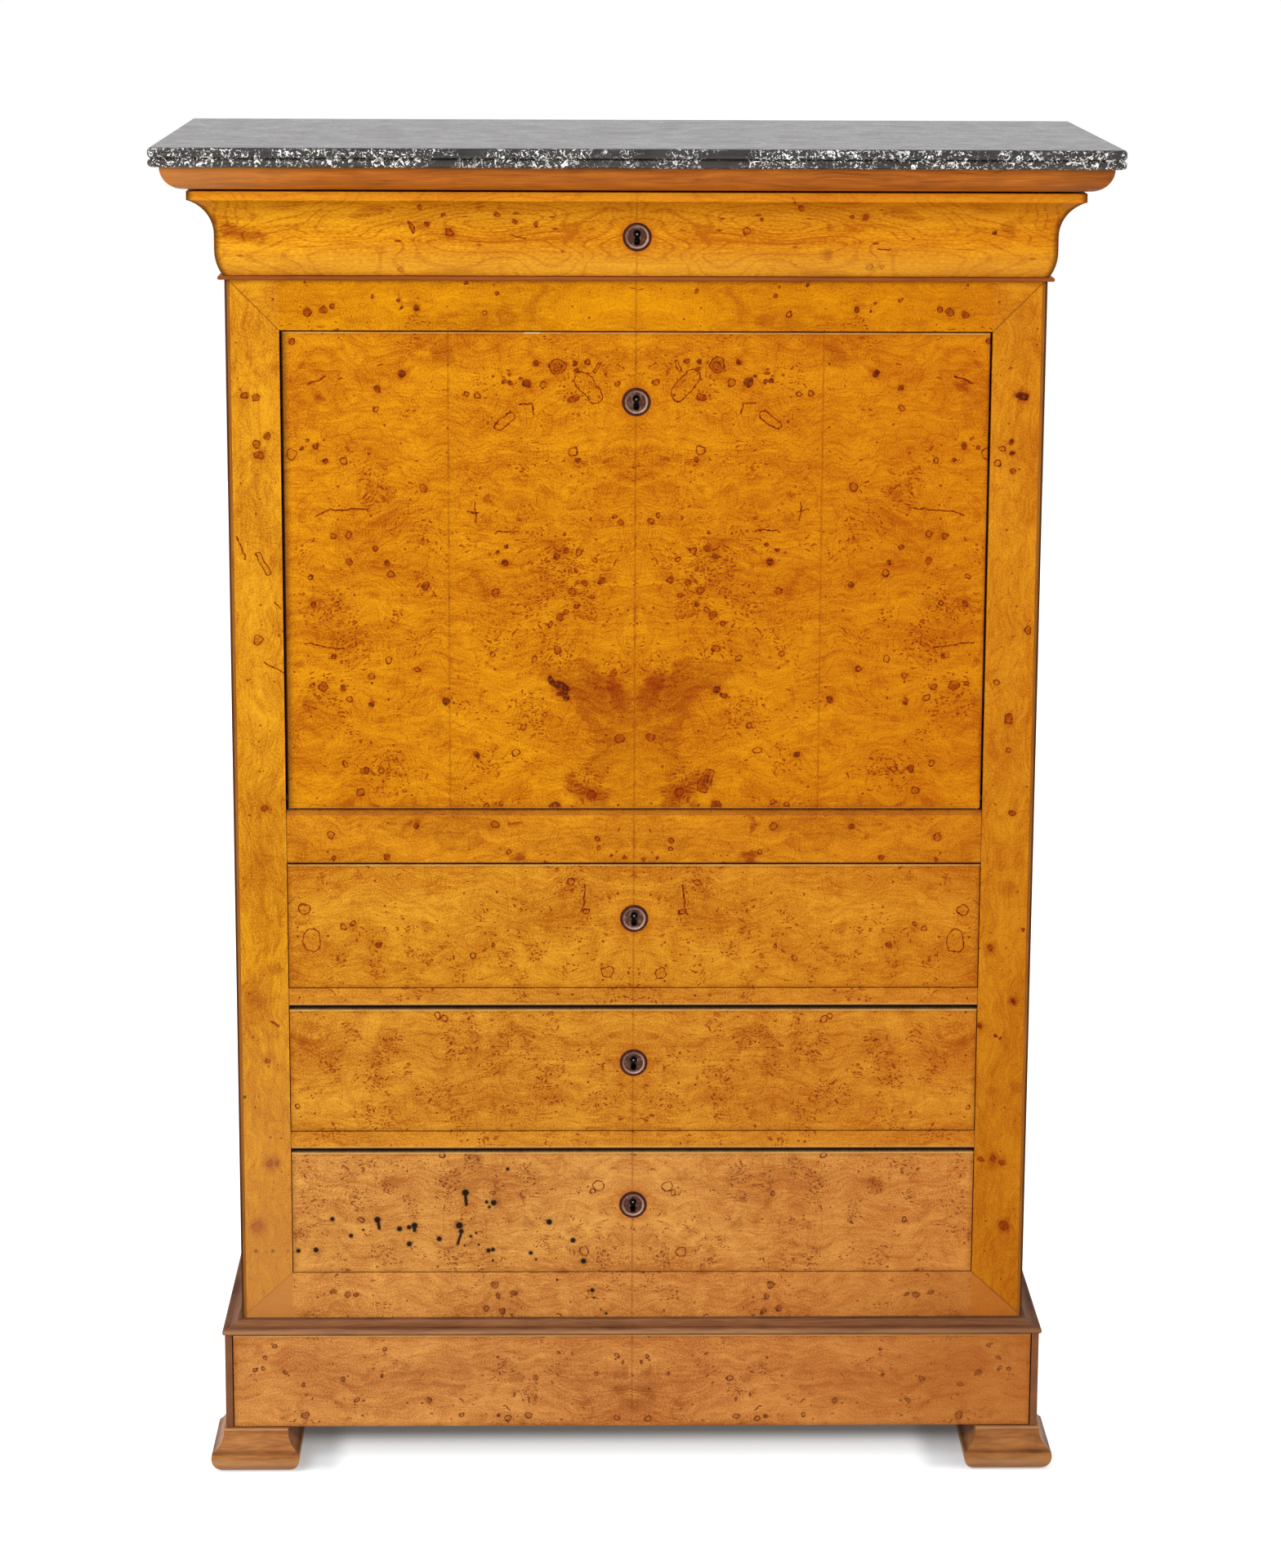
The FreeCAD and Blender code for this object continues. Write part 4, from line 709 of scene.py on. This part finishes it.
def frieze_light(tree, where, colour):
    """Paint light on the belly of the frieze, shade in the hollow above it and a highlight on the fillet at
    its top, and paint shade on the mitred ends.
    """
    for start, full, most, code in ((1405, 1380, 0.3, "#F6B23C"), (1425, 1445, 0.22, "#B05408"),
                                    (1449, 1452, 0.35, "#EC9420")):
        colour = tint(tree, colour, code, where["Z"], start, full, most)
    slant = add(tree, "Math.ADD", where["Out"], where["Y"])
    return tint(tree, colour, "#4A2410", slant, FRIEZE_MITRE - 9, FRIEZE_MITRE, 0.9, **SOFT)


def shaded_end(tree, where, colour):
    """Paint shade over a front, growing towards its right end."""
    return tint(tree, colour, "#A0581C", where["X"], 150, POST_INNER, 0.35)


print("joints ready")

# %% Veneer the frieze and the rails
frieze = burr_veneer(
    "burr_veneer_frieze", "#F4AA18", "#B66206", loose=0.02, lines=0.32, backing=-135, turned=drawn_out,
    wear_and_shade=frieze_light, keyhole=middle_of("frieze_drawer_escutcheon"),
    own=[(-233, 1443, 2.6, .5), (-226, 1424, 2.5, .7), (-208, 1434, 1.9, .7), (-202, 1415, 3.4, .5),
         (-132, 1427, 2.2, .8), (-109, 1424, 2.8, .5), (-255, 1374, 3, .3), (-80, 1396, 1.3, .8),
         (-151, 1435, 1.9, .5), (176, 1443, 3.1, .5), (134, 1429, 1.6, .9), (118, 1417, 3.8, .2),
         (245, 1433, 2.8, .5), (231, 1432, 2.2, .5), (251, 1378, 3, .3), (264, 1379, 1.8, .3),
         (386, 1416, 1.9, .8), (-245, 1426, -240, 1416, 1.1, .4), (-136, 1412, -120, 1409, .2, .7),
         (166, 1456, 168, 1449, .4, 1), (260, 1398, 273, 1398, .3, .7)],
    smudges=[(-440, 1417, -405, 1407, 9, .75), (-169, 1443, 7, .5), (-147, 1444, 5, .5), (-202, 1415, 8, .5),
             (205, 1391, 8, .8), (400, 1421, 10, .6), (245, 1433, 7, .5), (208, 1421, 5, .4)])
dress(frieze, "frieze_drawer_front")
top_rail = burr_veneer(
    "burr_veneer_top_rail", "#EA9C06", "#B26202", loose=0.12,
    marks=[(356, 1327, 3.5, .6), (339, 1330, 3.5, .6), (329, 1334, 2.8, .6), (238, 1332, 2.8, .8),
           (258, 1340, 1.3, .8), (254, 1332, 1.3, .8), (165, 1327, 2.5, .1), (185, 1359, 1.6, .5),
           (286, 1344, 1.6, .6), (151, 1348, 1.9, .6)],
    patches=[(140, 1325, 10, .35), (256, 1347, 5, .4), (187, 1330, 13, .25)],
    own=[(65, 1352, 1.9, .7)])
dress(top_rail, "top_rail")
mid_rail = burr_veneer(
    "burr_veneer_mid_rail", "#EB9A1A", "#AA5B08", loose=0.12, wear_and_shade=worn_edge_and_shade,
    marks=[(338, 744, 3.6, .3), (275, 720, 3.3, .6), (242, 755, 3.1, .6), (155, 756, 4.1, .3),
           (140, 726, 2.3, .2), (41, 740, 2.8, .5), (40, 730, 2.3, .2), (26, 720, 1.3, .9), (10, 718, 2, .6),
           (336, 718, 2, .4)],
    patches=[(132, 759, 5, .8), (125, 719, 9, .95), (254, 751, 6, .5), (242, 755, 4, .6), (336, 743, 7, .4)])
dress(mid_rail, "mid_rail")
rails = burr_veneer("burr_veneer_drawer_rails", "#EA9F2F", "#AC5E12", loose=0.35, wear_and_shade=rail_wear_and_shade)
dress(rails, "drawer_rails")
bottom_rail = burr_veneer(
    "burr_veneer_bottom_rail", "#ECA551", "#AE6227", loose=0.25, rust=BROWNER, wear_and_shade=shaded_end,
    marks=[(341, 208, 3.1, .5), (324, 204, 3.1, .5), (314, 204, 2.6, .6), (157, 216, 4.2, .5),
           (153, 202, 2.6, .6), (167, 188, 3.1, .5), (149, 184, 3.1, .6)],
    own=[(-138, 206, -133, 207, 1.5, .6)],
    ink=[(-46, 209, 2, 1), (-86, 222, .8, 1), (-44, 200, .8, 1), (-30, 181, 1.1, 1)])
dress(bottom_rail, "bottom_rail")
print("frieze and rails veneered")

# %% Veneer the posts, the plinth and the sides
posts = burr_veneer(
    "burr_veneer_posts", "#EFA71E", "#B46408", seams=(), loose=0.02, lines=0.14, turned=upright,
    wear_and_shade=post_joints_and_shade,
    own=[(-425, 1236, 3.6, .6), (-413, 1234, 3.5, .6), (-414, 1183, 3.6, .5), (-410, 1171, 4.6, .5),
         (-401, 1192, 3.5, .6), (-414, 966, 4.9, .4), (-411, 776, 3.2, .6), (-426, 286, 5.2, .45),
         (410, 1187, 2.4, .8), (411, 1175, 2.6, .95), (400, 1179, 3.1, .2), (395, 1163, 3.1, .2),
         (412, 1155, 2.4, .5), (433, 977, 3.6, .4), (400, 918, 3, .1), (414, 841, 2.8, .3),
         (420, 770, 3.2, .6), (414, 877, 4.5, .6), (422, 286, 5, .6), (418, 1238, 424, 1237, 3.2, 1),
         (-436, 1081, -427, 1058, .3, .8), (-413, 1061, -402, 1040, 2.5, .15),
         (-396, 1008, -389, 1001, .2, .8), (-408, 941, -387, 929, .2, .8), (-406, 528, -398, 524, .8, .6),
         (-412, 482, 2.6, .7), (-411, 361, 3.2, .6), (-402, 361, 2.4, .6), (436, 635, 1.4, 1),
         (400, 614, 3, .5), (427, 552, 3.2, .9), (391, 523, 2, .7), (407, 511, 1.4, .9), (412, 508, 1.2, .9),
         (395, 365, 2, .7), (409, 366, 3.2, .5), (419, 361, 3, .6)],
    smudges=[(-426, 286, 12, .7), (422, 286, 11, .7), (-410, 1171, 10, .4), (420, 1238, 10, .5),
             (423, 781, 8, .4), (-420, 552, 11, .5), (-412, 486, 9, .5), (-402, 590, 9, .5),
             (-407, 362, 12, .6), (418, 682, 11, .55), (400, 612, 10, .6), (427, 552, 8, .7),
             (393, 523, 7, .5), (404, 447, 8, .5), (433, 451, 9, .6), (410, 363, 12, .6),
             (-403, 690, -394, 640, 3, .35), (-416, 690, -416, 765, 34, .34), (416, 1290, 416, 1325, 26, .2)],
    ink=[(-428, 257, 1.7, 1), (-409, 257, 1.7, 1), (-438, 440, 1.5, 1)])
dress(posts, "front_posts")
plinth = burr_veneer(
    "burr_veneer_plinth", "#E8A152", "#AA5E29", loose=0.08, lines=0.05, backing=-183, rust=BROWNER,
    wear_and_shade=shaded_end, edges=in_mm(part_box("plinth_drawer_front")),
    marks=[(406, 150, 2, .4), (420, 122, 2.2, .32), (396, 118, 2.9, .56), (375, 103, 2.4, .4),
           (330, 110, 2.9, .48), (315, 84, 2.4, .24), (374, 66, 3.8, .48), (286, 114, 1.4, .8),
           (283, 146, 1.7, .16), (232, 84, 2.9, .48), (152, 65, 2.2, .76), (18, 62, 3.1, .16),
           (41, 116, 2, .48), (17, 138, 2.2, .32), (11, 130, 1.5, .4), (111, 111, 2.9, .24),
           (195, 67, 2.4, .24), (142, 62, 2.9, .32), (119, 65, 2.9, .32), (430, 121, 2, .4),
           (418, 136, 2, .32)],
    patches=[(131, 108, 7, .5), (131, 95, 7, .5), (14, 95, 19, .6), (2, 82, 9, .5), (159, 102, 6, .4),
             (116, 89, 6, .4), (14, 118, 6, .5), (400, 66, 9, .4)],
    colonies=[(272, 130, 7, .6), (73, 138, 9, .5), (116, 98, 14, .6), (376, 60, 15, .4), (314, 83, 9, .4),
              (141, 122, 15, .6)])
dress(plinth, "plinth_drawer_front")
dress(burr_veneer("burr_veneer_sides", "#DC941C", "#A85A08", seams=(), loose=0.3, turned=along_depth),
      "side_panel_right", "side_panel_left", "frieze_returns")
print("posts, plinth and sides veneered")

# %% [markdown]
# ## Plain woods
# Mouldings, feet and everything inside are solid wood with long straight grain. One recipe serves them all:
# fibres many times longer than wide, broad darker bands, and smears of dirt. Only the colours, the direction
# of the grain, the polish and some painted light and shade differ. A moulding that turns a corner has its
# grain turn with it at the mitre.

# %% A function for long-grained woods
CORNER_X, CORNER_Y = 445, -167
SWAY_MM, SWAY_PUSH, SMEAR_MM = 120, (0, 14, 14), 45


def long_grain(name, pale, deep, run="x", fibre_mm=(60, 1.6), band_mm=26, rough=0.45, gloss=0.15,
               dirt="#4A2A14", dirty=0.25, light_and_shade_bands=(), shades=()):
    """Make a straight-grained wood whose fibres run along x, y or z, or round the cabinet's corners.

    Bands are soft level stripes of painted light and shade, broken by the smears: height, half width, share,
    colour. Shades grow along an axis, as painted light, painted shade or a darker part: its name, start, end,
    share, colour.
    """
    material, tree, where = new_material(name)
    x, y, z = (where[axis] for axis in "XYZ")
    if run == "round":
        out = add(tree, "Math.SUBTRACT", where["Out"], CORNER_X)
        front = add(tree, "Math.SUBTRACT", CORNER_Y, y)
        returns = add(tree, "Math.GREATER_THAN", out, front)
        along = add(tree, "Mix", returns, A_Float=x, B_Float=y)
        across = add(tree, "Mix", returns, A_Float=y, B_Float=x)
        course = along, across, z
    else:
        course = {"x": (x, y, z), "y": (y, x, z), "z": (z, x, y)}[run]
    board = add(tree, "CombineXYZ", *course)
    sway = add(tree, "TexNoise", board, Scale=1 / SWAY_MM, Detail=2, out="Color")
    bent = add(tree, "VectorMath.MULTIPLY_ADD", sway, SWAY_PUSH, board)
    long, fine = fibre_mm
    combed = add(tree, "VectorMath.MULTIPLY", bent, (1 / long, 1 / fine, 1 / fine))
    fibre = add(tree, "TexNoise", combed, Scale=1, Detail=3, Roughness=0.62)
    wide = add(tree, "VectorMath.MULTIPLY", bent, (0.12 / band_mm, 1 / band_mm, 1 / band_mm))
    band = add(tree, "TexNoise", wide, Scale=1, Detail=3)
    blend = add(tree, "Math.MULTIPLY_ADD", fibre, 1.2, -0.55)
    blend = add(tree, "Math.MULTIPLY_ADD", band, 0.9, blend, use_clamp=True)
    colour = add(tree, "Mix", blend, A_Color=linear(deep), B_Color=linear(pale), **COLOURS)
    smear = add(tree, "TexNoise", board, Scale=1 / SMEAR_MM, Detail=4)
    colour = tint(tree, colour, dirt, smear, 0.52, 0.75, dirty)
    for height, reach, most, code in light_and_shade_bands:
        colour = tint(tree, colour, code, apart(tree, z, height), reach, 0, most, times=smear, **SOFT)
    for axis, start, end, most, code in shades:
        colour = tint(tree, colour, code, where[axis], start, end, most)
    roughness = add(tree, "Math.MULTIPLY_ADD", smear, 0.25, rough - 0.12)
    return finish_material(material, colour, roughness, fibre, 0.15, Specular_IOR_Level=gloss)


print("long_grain ready")

# %% Mouldings, strips, feet and plinth boards
# The cornice's left end is painted lighter and its right end darker, as painted light and shade.
dress(long_grain(
    "polished_pearwood_cornice", "#DA7E24", "#82390E", run="round", band_mm=10, rough=0.36, gloss=0.1,
    shades=[("X", -330, -490, 0.3, "#F0A860"), ("X", 400, 490, 0.35, "#5C2C14")]), "cornice_moulding")
dress(long_grain("polished_pearwood_bead", "#A85A22", "#743410", run="round", rough=0.4), "frieze_bead")
dress(long_grain(
    "polished_pearwood_strips", "#B4702A", "#7C4210", run="z", gloss=0.05,
    shades=[("X", side * 442, side * 443.4, 0.85, "#3A1C0E") for side in (-1, 1)]), "corner_strips")
# The base moulding's bands paint shade at its top joint and in its groove and a highlight on its nose, and it
# is painted darker towards the right, as shade.
dress(long_grain(
    "dry_walnut_moulding", "#AC764E", "#5A3622", run="round", band_mm=12, rough=0.55, gloss=0.1,
    light_and_shade_bands=[(176.6, 1.2, 1.2, "#3A2214"), (170.6, 1.2, 0.8, "#40261A"), (166.5, 3.6, 0.75, "#D09866")],
    shades=[("X", 100, 420, 0.3, "#46220E")]), "base_moulding")
# The feet's bands paint shade in their crease and highlights on the top fillet and the nose, and they are
# painted darker towards the right, as shade.
dress(long_grain(
    "honey_walnut_feet", "#CE8C4C", "#86491E", fibre_mm=(24, 2.4), band_mm=10, rough=0.42, dirt="#6A3818",
    dirty=0.55, light_and_shade_bands=[(26, 3.5, 1.2, "#4E2A14"), (50, 2, 1.0, "#E0B080"), (14, 8, 0.7, "#E0AE7C")],
    shades=[("X", 0, 300, 0.16, "#5A2A0C")]), "front_feet", "rear_feet")
dress(long_grain("walnut_plinth_boards", "#96603A", "#663A20", run="y", rough=0.5), "plinth_frame")
print("outer woods done")

# %% Oak of the carcass, maple of the desk
LONG_DRAWERS = ["drawer_1", "drawer_2", "drawer_3"]
SMALL_DRAWERS = [f"small_drawer_{side}_{row}" for side in ("left", "right") for row in ("lower", "upper")]
KNOB_FOOT = -17.5       # the small drawers' faces, where the darker knobs begin
dress(long_grain("bare_oak_long", "#B08A5C", "#7C5A36", rough=0.7, gloss=0.2), "top_board", "frieze_floor",
      "carcass_bottom", "dust_boards", "drawer_runners",
      *(name + "_box" for name in ["frieze_drawer", *LONG_DRAWERS, "plinth_drawer"]))
dress(long_grain("bare_oak_upright", "#A8835A", "#735232", run="z", rough=0.7, gloss=0.2), "back_frame",
      "back_panels")
dress(long_grain("polished_maple_inside", "#D49C56", "#A66C30", rough=0.4), "desk_floor", "desk_fittings")
dress(long_grain("polished_maple_drawers", "#DAA25A", "#AC7234", rough=0.4,
                 shades=[("Y", KNOB_FOOT, KNOB_FOOT - 0.4, 0.8, "#5A3216")]), *SMALL_DRAWERS)
dress(long_grain("polished_maple_linings", "#D09852", "#A0682E", run="z", rough=0.4), "desk_linings")
print("inner woods done")

# %% [markdown]
# ## Grey fossil marble
# The slab is a dark grey limestone full of white shell fragments, polished on top and worn matt on the edge.
# Shells are drawn as curled flakes of two sizes that lie in swarms. The polish mirrors the white room at a
# flat angle, which all but hides them, so on the top face they are painted duller and the face is painted a
# lilac grey, as painted reflection.

# %% Polish the marble
STIR_MM, STIR_PUSH, MUD_MM, SWARM_MM = 22, (16, 16, 16), 30, 40
marble, tree, where = new_material("grey_fossil_marble")
stone = where["Point"]
stir = add(tree, "TexNoise", stone, Scale=1 / STIR_MM, Detail=3, out="Color")
mixed = add(tree, "VectorMath.MULTIPLY_ADD", stir, STIR_PUSH, stone)
mud = add(tree, "TexNoise", mixed, Scale=1 / MUD_MM, Detail=5, Roughness=0.65)
colour = add(tree, "Mix", mud, A_Color=linear("#1A1614"), B_Color=linear("#48423D"), **COLOURS)
slab_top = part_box("marble_top")[1].z / MM
# The top face is painted lilac grey and its shells dimmed: painted reflection of the white room.
on_edge = add(tree, "MapRange", where["Z"], slab_top - 1.4, slab_top - 0.4, 1, 0)
colour = tint(tree, colour, "#483E46", on_edge, 0.65, 0, 0.65)
scatter = add(tree, "TexNoise", stone, Scale=1 / SWARM_MM, Detail=3)
bright = add(tree, "Math.MULTIPLY_ADD", on_edge, 0.72, 0.28)
for shell_mm, low, high in ((8, 0.42, 0.56), (4.5, 0.4, 0.52)):
    curl = add(tree, "TexNoise", stone, Scale=1 / shell_mm, Detail=2, Roughness=0.6, Distortion=1.6)
    here = add(tree, "MapRange", scatter, low, high)
    here = add(tree, "Math.MULTIPLY", here, bright)
    colour = tint(tree, colour, "#FFFCF6", curl, 0.585, 0.63, times=here)
rough = add(tree, "Math.MULTIPLY_ADD", mud, 0.25, 0.16)
finish_material(marble, colour, rough, mud, 0.1, Specular_IOR_Level=0.27)
dress(marble, "marble_top")
print("marble polished")

# %% [markdown]
# ## Brass and iron
# The escutcheons are brass gone brown, with a painted highlight on a ring within a dark rim, brighter towards
# the lower right, and their keyholes are painted wide in dark shade. The locks, bolts and levers are dark
# iron.
# The front of each lock, seen through the keyhole, is painted near black as shade, and only the tip of its
# key pin carries a small painted highlight.

# %% Metals
HIGHLIGHT_RING = 11.6      # its radius on a disc of 15.5
KEYHOLE_RISE = 2.8      # from the middle of the disc up to the key pin
TARNISH_MM = 6
LOCKED = ["frieze_drawer", "fall", *LONG_DRAWERS]


def old_metal(name, bright, dull, rough=0.5, metallic=0.85, centre=None, pin=None):
    """Make a metal with tarnish spots; about a centre, a painted highlight ring, a dark rim and a painted
    dark keyhole; or, by a key pin, painted shade with a highlight on its tip.
    """
    material, tree, where = new_material(name)
    spot, y = where["Spot"], where["Y"]
    tarnish = add(tree, "TexNoise", where["Point"], Scale=1 / TARNISH_MM, Detail=4, Roughness=0.65)
    rubbed_and_highlight = add(tree, "MapRange", tarnish, 0.5, 0.72)
    # A ring about the centre gets a painted highlight, brighter towards the lower right.
    if centre:
        x, z = centre.x, centre.z
        away = add(tree, "VectorMath.DISTANCE", spot, (x, z, 0), out="Value")
        ring = add(tree, "MapRange", apart(tree, away, HIGHLIGHT_RING), 1.3, 0.3, To_Max=0.75)
        aside = add(tree, "VectorMath.SUBTRACT", spot, (x, z, 0))
        aside = add(tree, "VectorMath.DOT_PRODUCT", aside, (0.7, -0.7, 0), out="Value")
        glint = add(tree, "MapRange", aside, -HIGHLIGHT_RING, HIGHLIGHT_RING, 0.4, 1.3)
        ring = add(tree, "Math.MULTIPLY", ring, glint)
        rubbed_and_highlight = add(tree, "Math.MULTIPLY_ADD", rubbed_and_highlight, 0.35, ring, use_clamp=True)
    colour = add(tree, "Mix", rubbed_and_highlight, A_Color=linear(dull), B_Color=linear(bright), **COLOURS)
    if centre:
        colour = tint(tree, colour, "#380E06", away, HIGHLIGHT_RING + 1, HIGHLIGHT_RING + 2, 0.85)
        # The keyhole is painted wider in near black, as painted shade.
        painted_keyhole_shade = [(x, z + 4.2, 4.6, 1), (x, z - 3.6, x, z - 5.6, 3.9, 1)]
        colour = tint(tree, colour, "#0C0604", lay(tree, 0.0, spot, painted_keyhole_shade, soft=True), 0.25, 0.45)
    # The lock's front is painted near black as shade, and the pin's tip gets a painted highlight.
    if pin:
        colour = tint(tree, colour, "#0C0604", y, pin.y + 6, pin.y + 5, 0.97)
        away = add(tree, "VectorMath.DISTANCE", spot, (pin.x, pin.z, 0), out="Value")
        face = add(tree, "MapRange", y, pin.y + 0.3, pin.y + 0.1)
        colour = tint(tree, colour, "#A89488", away, 1.1, 0.3, times=face)
    roughness = add(tree, "Math.MULTIPLY_ADD", rubbed_and_highlight, -0.15, rough)
    return finish_material(material, colour, roughness, tarnish, 0.08, Metallic=metallic,
                           Specular_IOR_Level=0.12)


for name in LOCKED:
    disc = middle_of(name + "_escutcheon")
    tip = Vector((disc.x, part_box(name + "_lock")[0].y / MM, disc.z + KEYHOLE_RISE))
    brass = old_metal("aged_brass_" + name, "#C09A86", "#4C2A1E", metallic=0.25, centre=disc)
    dress(brass, name + "_escutcheon")
    dress(old_metal("wrought_iron_" + name, "#6E655C", "#332C27", pin=tip), name + "_lock", name + "_bolt")
dress(old_metal("wrought_iron_levers", "#6E655C", "#332C27"), "fall_levers")
dress(old_metal("aged_brass_plates", "#B08A50", "#7A5A34"), "pivot_plates")
print("metals done")

# %% [markdown]
# ## Screws
# Each lock is let into the back of its front and held by four slotted iron screws. A screw head is a low
# dome with a straight sawn slot. One head is turned from a cylinder: its face is drawn in and up twice for
# the dome, and a bar cuts the slot. Nobody drives four screws to the same angle, so each copy is turned its
# own way.

# %% Turn one screw head
HEAD_RADIUS, HEAD_RISE, SLOT_WIDE, SLOT_DEEP = 3.4, 0.8, 0.9, 0.7
DOME_STEPS = ((0.8, 0.3), (1.2, 0.2))       # drawn in, drawn up
DOME_RISE = sum(drawn_up for _, drawn_up in DOME_STEPS)

bpy.ops.object.select_all(action="DESELECT")
bpy.ops.mesh.primitive_cylinder_add(vertices=40, radius=HEAD_RADIUS * MM, depth=HEAD_RISE * MM)
head = bpy.context.object
bpy.ops.object.mode_set(mode="EDIT")
bpy.ops.mesh.select_mode(type="FACE")
bpy.ops.mesh.select_all(action="DESELECT")
bpy.ops.object.mode_set(mode="OBJECT")
for face in head.data.polygons:
    face.select = face.normal.z > 0.9
bpy.ops.object.mode_set(mode="EDIT")
for drawn_in, drawn_up in DOME_STEPS:
    bpy.ops.mesh.inset(thickness=drawn_in * MM)
    bpy.ops.transform.translate(value=(0, 0, drawn_up * MM))
bpy.ops.object.mode_set(mode="OBJECT")
bpy.ops.mesh.primitive_cube_add(size=1, location=(0, 0, (HEAD_RISE / 2 + DOME_RISE) * MM),
                                scale=(3 * HEAD_RADIUS * MM, SLOT_WIDE * MM, 2 * SLOT_DEEP * MM))
bar = bpy.context.object
bpy.context.view_layer.objects.active = head
saw = head.modifiers.new("slot", "BOOLEAN")
saw.operation = "DIFFERENCE"
saw.object = bar
bpy.ops.object.modifier_apply(modifier=saw.name)
bpy.data.objects.remove(bar)
head.data.materials.append(old_metal("wrought_iron_screws", "#8A8078", "#3E3630", 0.45))
print("screw head:", len(head.data.polygons), "faces")

# %% Fix four screws to each lock
SCREW_IN = 6.5          # from the edges of the lock's case to a screw
SUNK = 0.2              # how deep a head sits in the case
FIRST_TURN, NEXT_TURN = 20, 67
turned_by = FIRST_TURN
for name in LOCKED:
    low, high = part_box(name + "_lock")
    for place, (x, z) in enumerate((x, z) for x in (low.x, high.x) for z in (low.z, high.z)):
        bpy.ops.object.select_all(action="DESELECT")
        head.select_set(True)
        bpy.context.view_layer.objects.active = head
        bpy.ops.object.duplicate(linked=False)
        screw = bpy.context.object
        screw.name = f"{name}_lock_screw_{place + 1}"
        inwards = [math.copysign(SCREW_IN * MM, middle - edge) for middle, edge in
                   (((low.x + high.x) / 2, x), ((low.z + high.z) / 2, z))]
        screw.location = (x + inwards[0], high.y + (HEAD_RISE / 2 - SUNK) * MM, z + inwards[1])
        screw.rotation_euler = (math.radians(-90), math.radians(turned_by), 0)
        bpy.ops.object.transform_apply(location=True, rotation=True, scale=True)
        bpy.ops.object.shade_smooth_by_angle(angle=math.radians(35))
        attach(screw, name)
        turned_by += NEXT_TURN
bpy.data.objects.remove(head)
print("screws fixed")

# %% [markdown]
# ## Writing leather
# The inside of the fall carries a green writing leather, darkened in clouds by age, with a gilt line tooled
# near its edge. Its pebbled grain is drawn a little coarse, so that it still shows from a chair.

# %% Leather
PEBBLE_MM, AGE_MM, GILT_IN = 1.6, 60, 14
leather, tree, where = new_material("green_writing_leather")
pebble = add(tree, "TexVoronoi", where["Spot"], Scale=1 / PEBBLE_MM, voronoi_dimensions="2D")
age = add(tree, "TexNoise", where["Spot"], Scale=1 / AGE_MM, Detail=5, **FLAT)
colour = add(tree, "Mix", age, A_Color=linear("#27331F"), B_Color=linear("#566043"), **COLOURS)
room = inset(tree, where, *in_mm(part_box("fall_leather")))
colour = tint(tree, colour, "#B08A3E", apart(tree, room, GILT_IN), 1.3, 0.9, 0.8)
rough = add(tree, "Math.MULTIPLY_ADD", age, 0.3, 0.45)
finish_material(leather, colour, rough, pebble, 0.15, Specular_IOR_Level=0.3)
dress(leather, "fall_leather")
print("leather done")

# %% [markdown]
# ## The studio
# A white floor runs out of the picture, a large soft lamp stands to the left, a weaker one to the right, and
# the white room around fills the shadows. The room is bright only to the camera and to polished surfaces;
# for everything else it is a gentle grey, so the wood keeps its own colour and the floor keeps its shadow.

# %% Floor
FLOOR_SIZE = 14
WHITE = (1, 1, 1, 1)


def seen(tree):
    """Tell the rays of the camera and of polished or clear surfaces from those that only carry light."""
    rays = add(tree, "LightPath").node.outputs
    shine = add(tree, "Math.MAXIMUM", rays["Is Camera Ray"], rays["Is Glossy Ray"])
    return add(tree, "Math.MAXIMUM", shine, rays["Is Transmission Ray"])


bpy.ops.object.select_all(action="DESELECT")
bpy.ops.mesh.primitive_plane_add(size=FLOOR_SIZE, location=(0, 0, 0))
floor = bpy.context.object
floor.name = "studio_floor"
floor_paint, tree, where = new_material("white_studio_floor")
white = add(tree, "BsdfDiffuse", linear("#EAF0F6"))
# The floor is lifted to white beside and before the cabinet, and under it keeps its shadow. The lift grows
# outwards in front, which paints the soft edge of that shadow, and by the feet it is cut, which paints their
# shadow.
beside = add(tree, "MapRange", where["Out"], 450, 500)
before = add(tree, "MapRange", where["Y"], -72, -125, 0.075, 0.6, **SOFT)
beyond = add(tree, "MapRange", where["Y"], -150, -400, To_Max=0.48)
before = add(tree, "Math.ADD", before, beyond)
by_feet = add(tree, "MapRange", where["Out"], 322, 352, To_Max=0.52, **SOFT)
behind = add(tree, "MapRange", where["Y"], -210, -170, **SOFT)
shaded = add(tree, "Math.MULTIPLY", by_feet, behind)
shaded = add(tree, "Math.SUBTRACT", 1, shaded)
before = add(tree, "Math.MULTIPLY", before, shaded)
whiter = add(tree, "Math.MAXIMUM", beside, before)
lift = add(tree, "Math.MULTIPLY", seen(tree), whiter)
glow = add(tree, "Emission", WHITE, lift)
add(tree, "OutputMaterial", add(tree, "AddShader", white, glow))
floor.data.materials.append(floor_paint)
print("floor laid")

# %% Room and lamps
ROOM_LIGHT = 0.42
world = bpy.data.worlds.new("white_room")
world.use_nodes = True
tree = world.node_tree
tree.nodes.clear()
strength = add(tree, "MapRange", seen(tree), To_Min=ROOM_LIGHT)
add(tree, "OutputWorld", add(tree, "Background", WHITE, strength))
scene.world = world


def soft_lamp(name, place, aim, size, watts):
    """Hang a square soft lamp at a place, facing a point."""
    lamp = bpy.data.lights.new(name, "AREA")
    lamp.size = size
    lamp.energy = watts
    holder = bpy.data.objects.new(name, lamp)
    holder.location = place
    holder.rotation_euler = (Vector(aim) - Vector(place)).to_track_quat("-Z", "Y").to_euler()
    scene.collection.objects.link(holder)


soft_lamp("key_lamp", (-2.0, -3.2, 3.0), (0, 0, 0.85), 2.2, 103)
soft_lamp("fill_lamp", (2.4, -3.2, 2.4), (0, 0, 0.8), 2.2, 35)
print("studio lit")
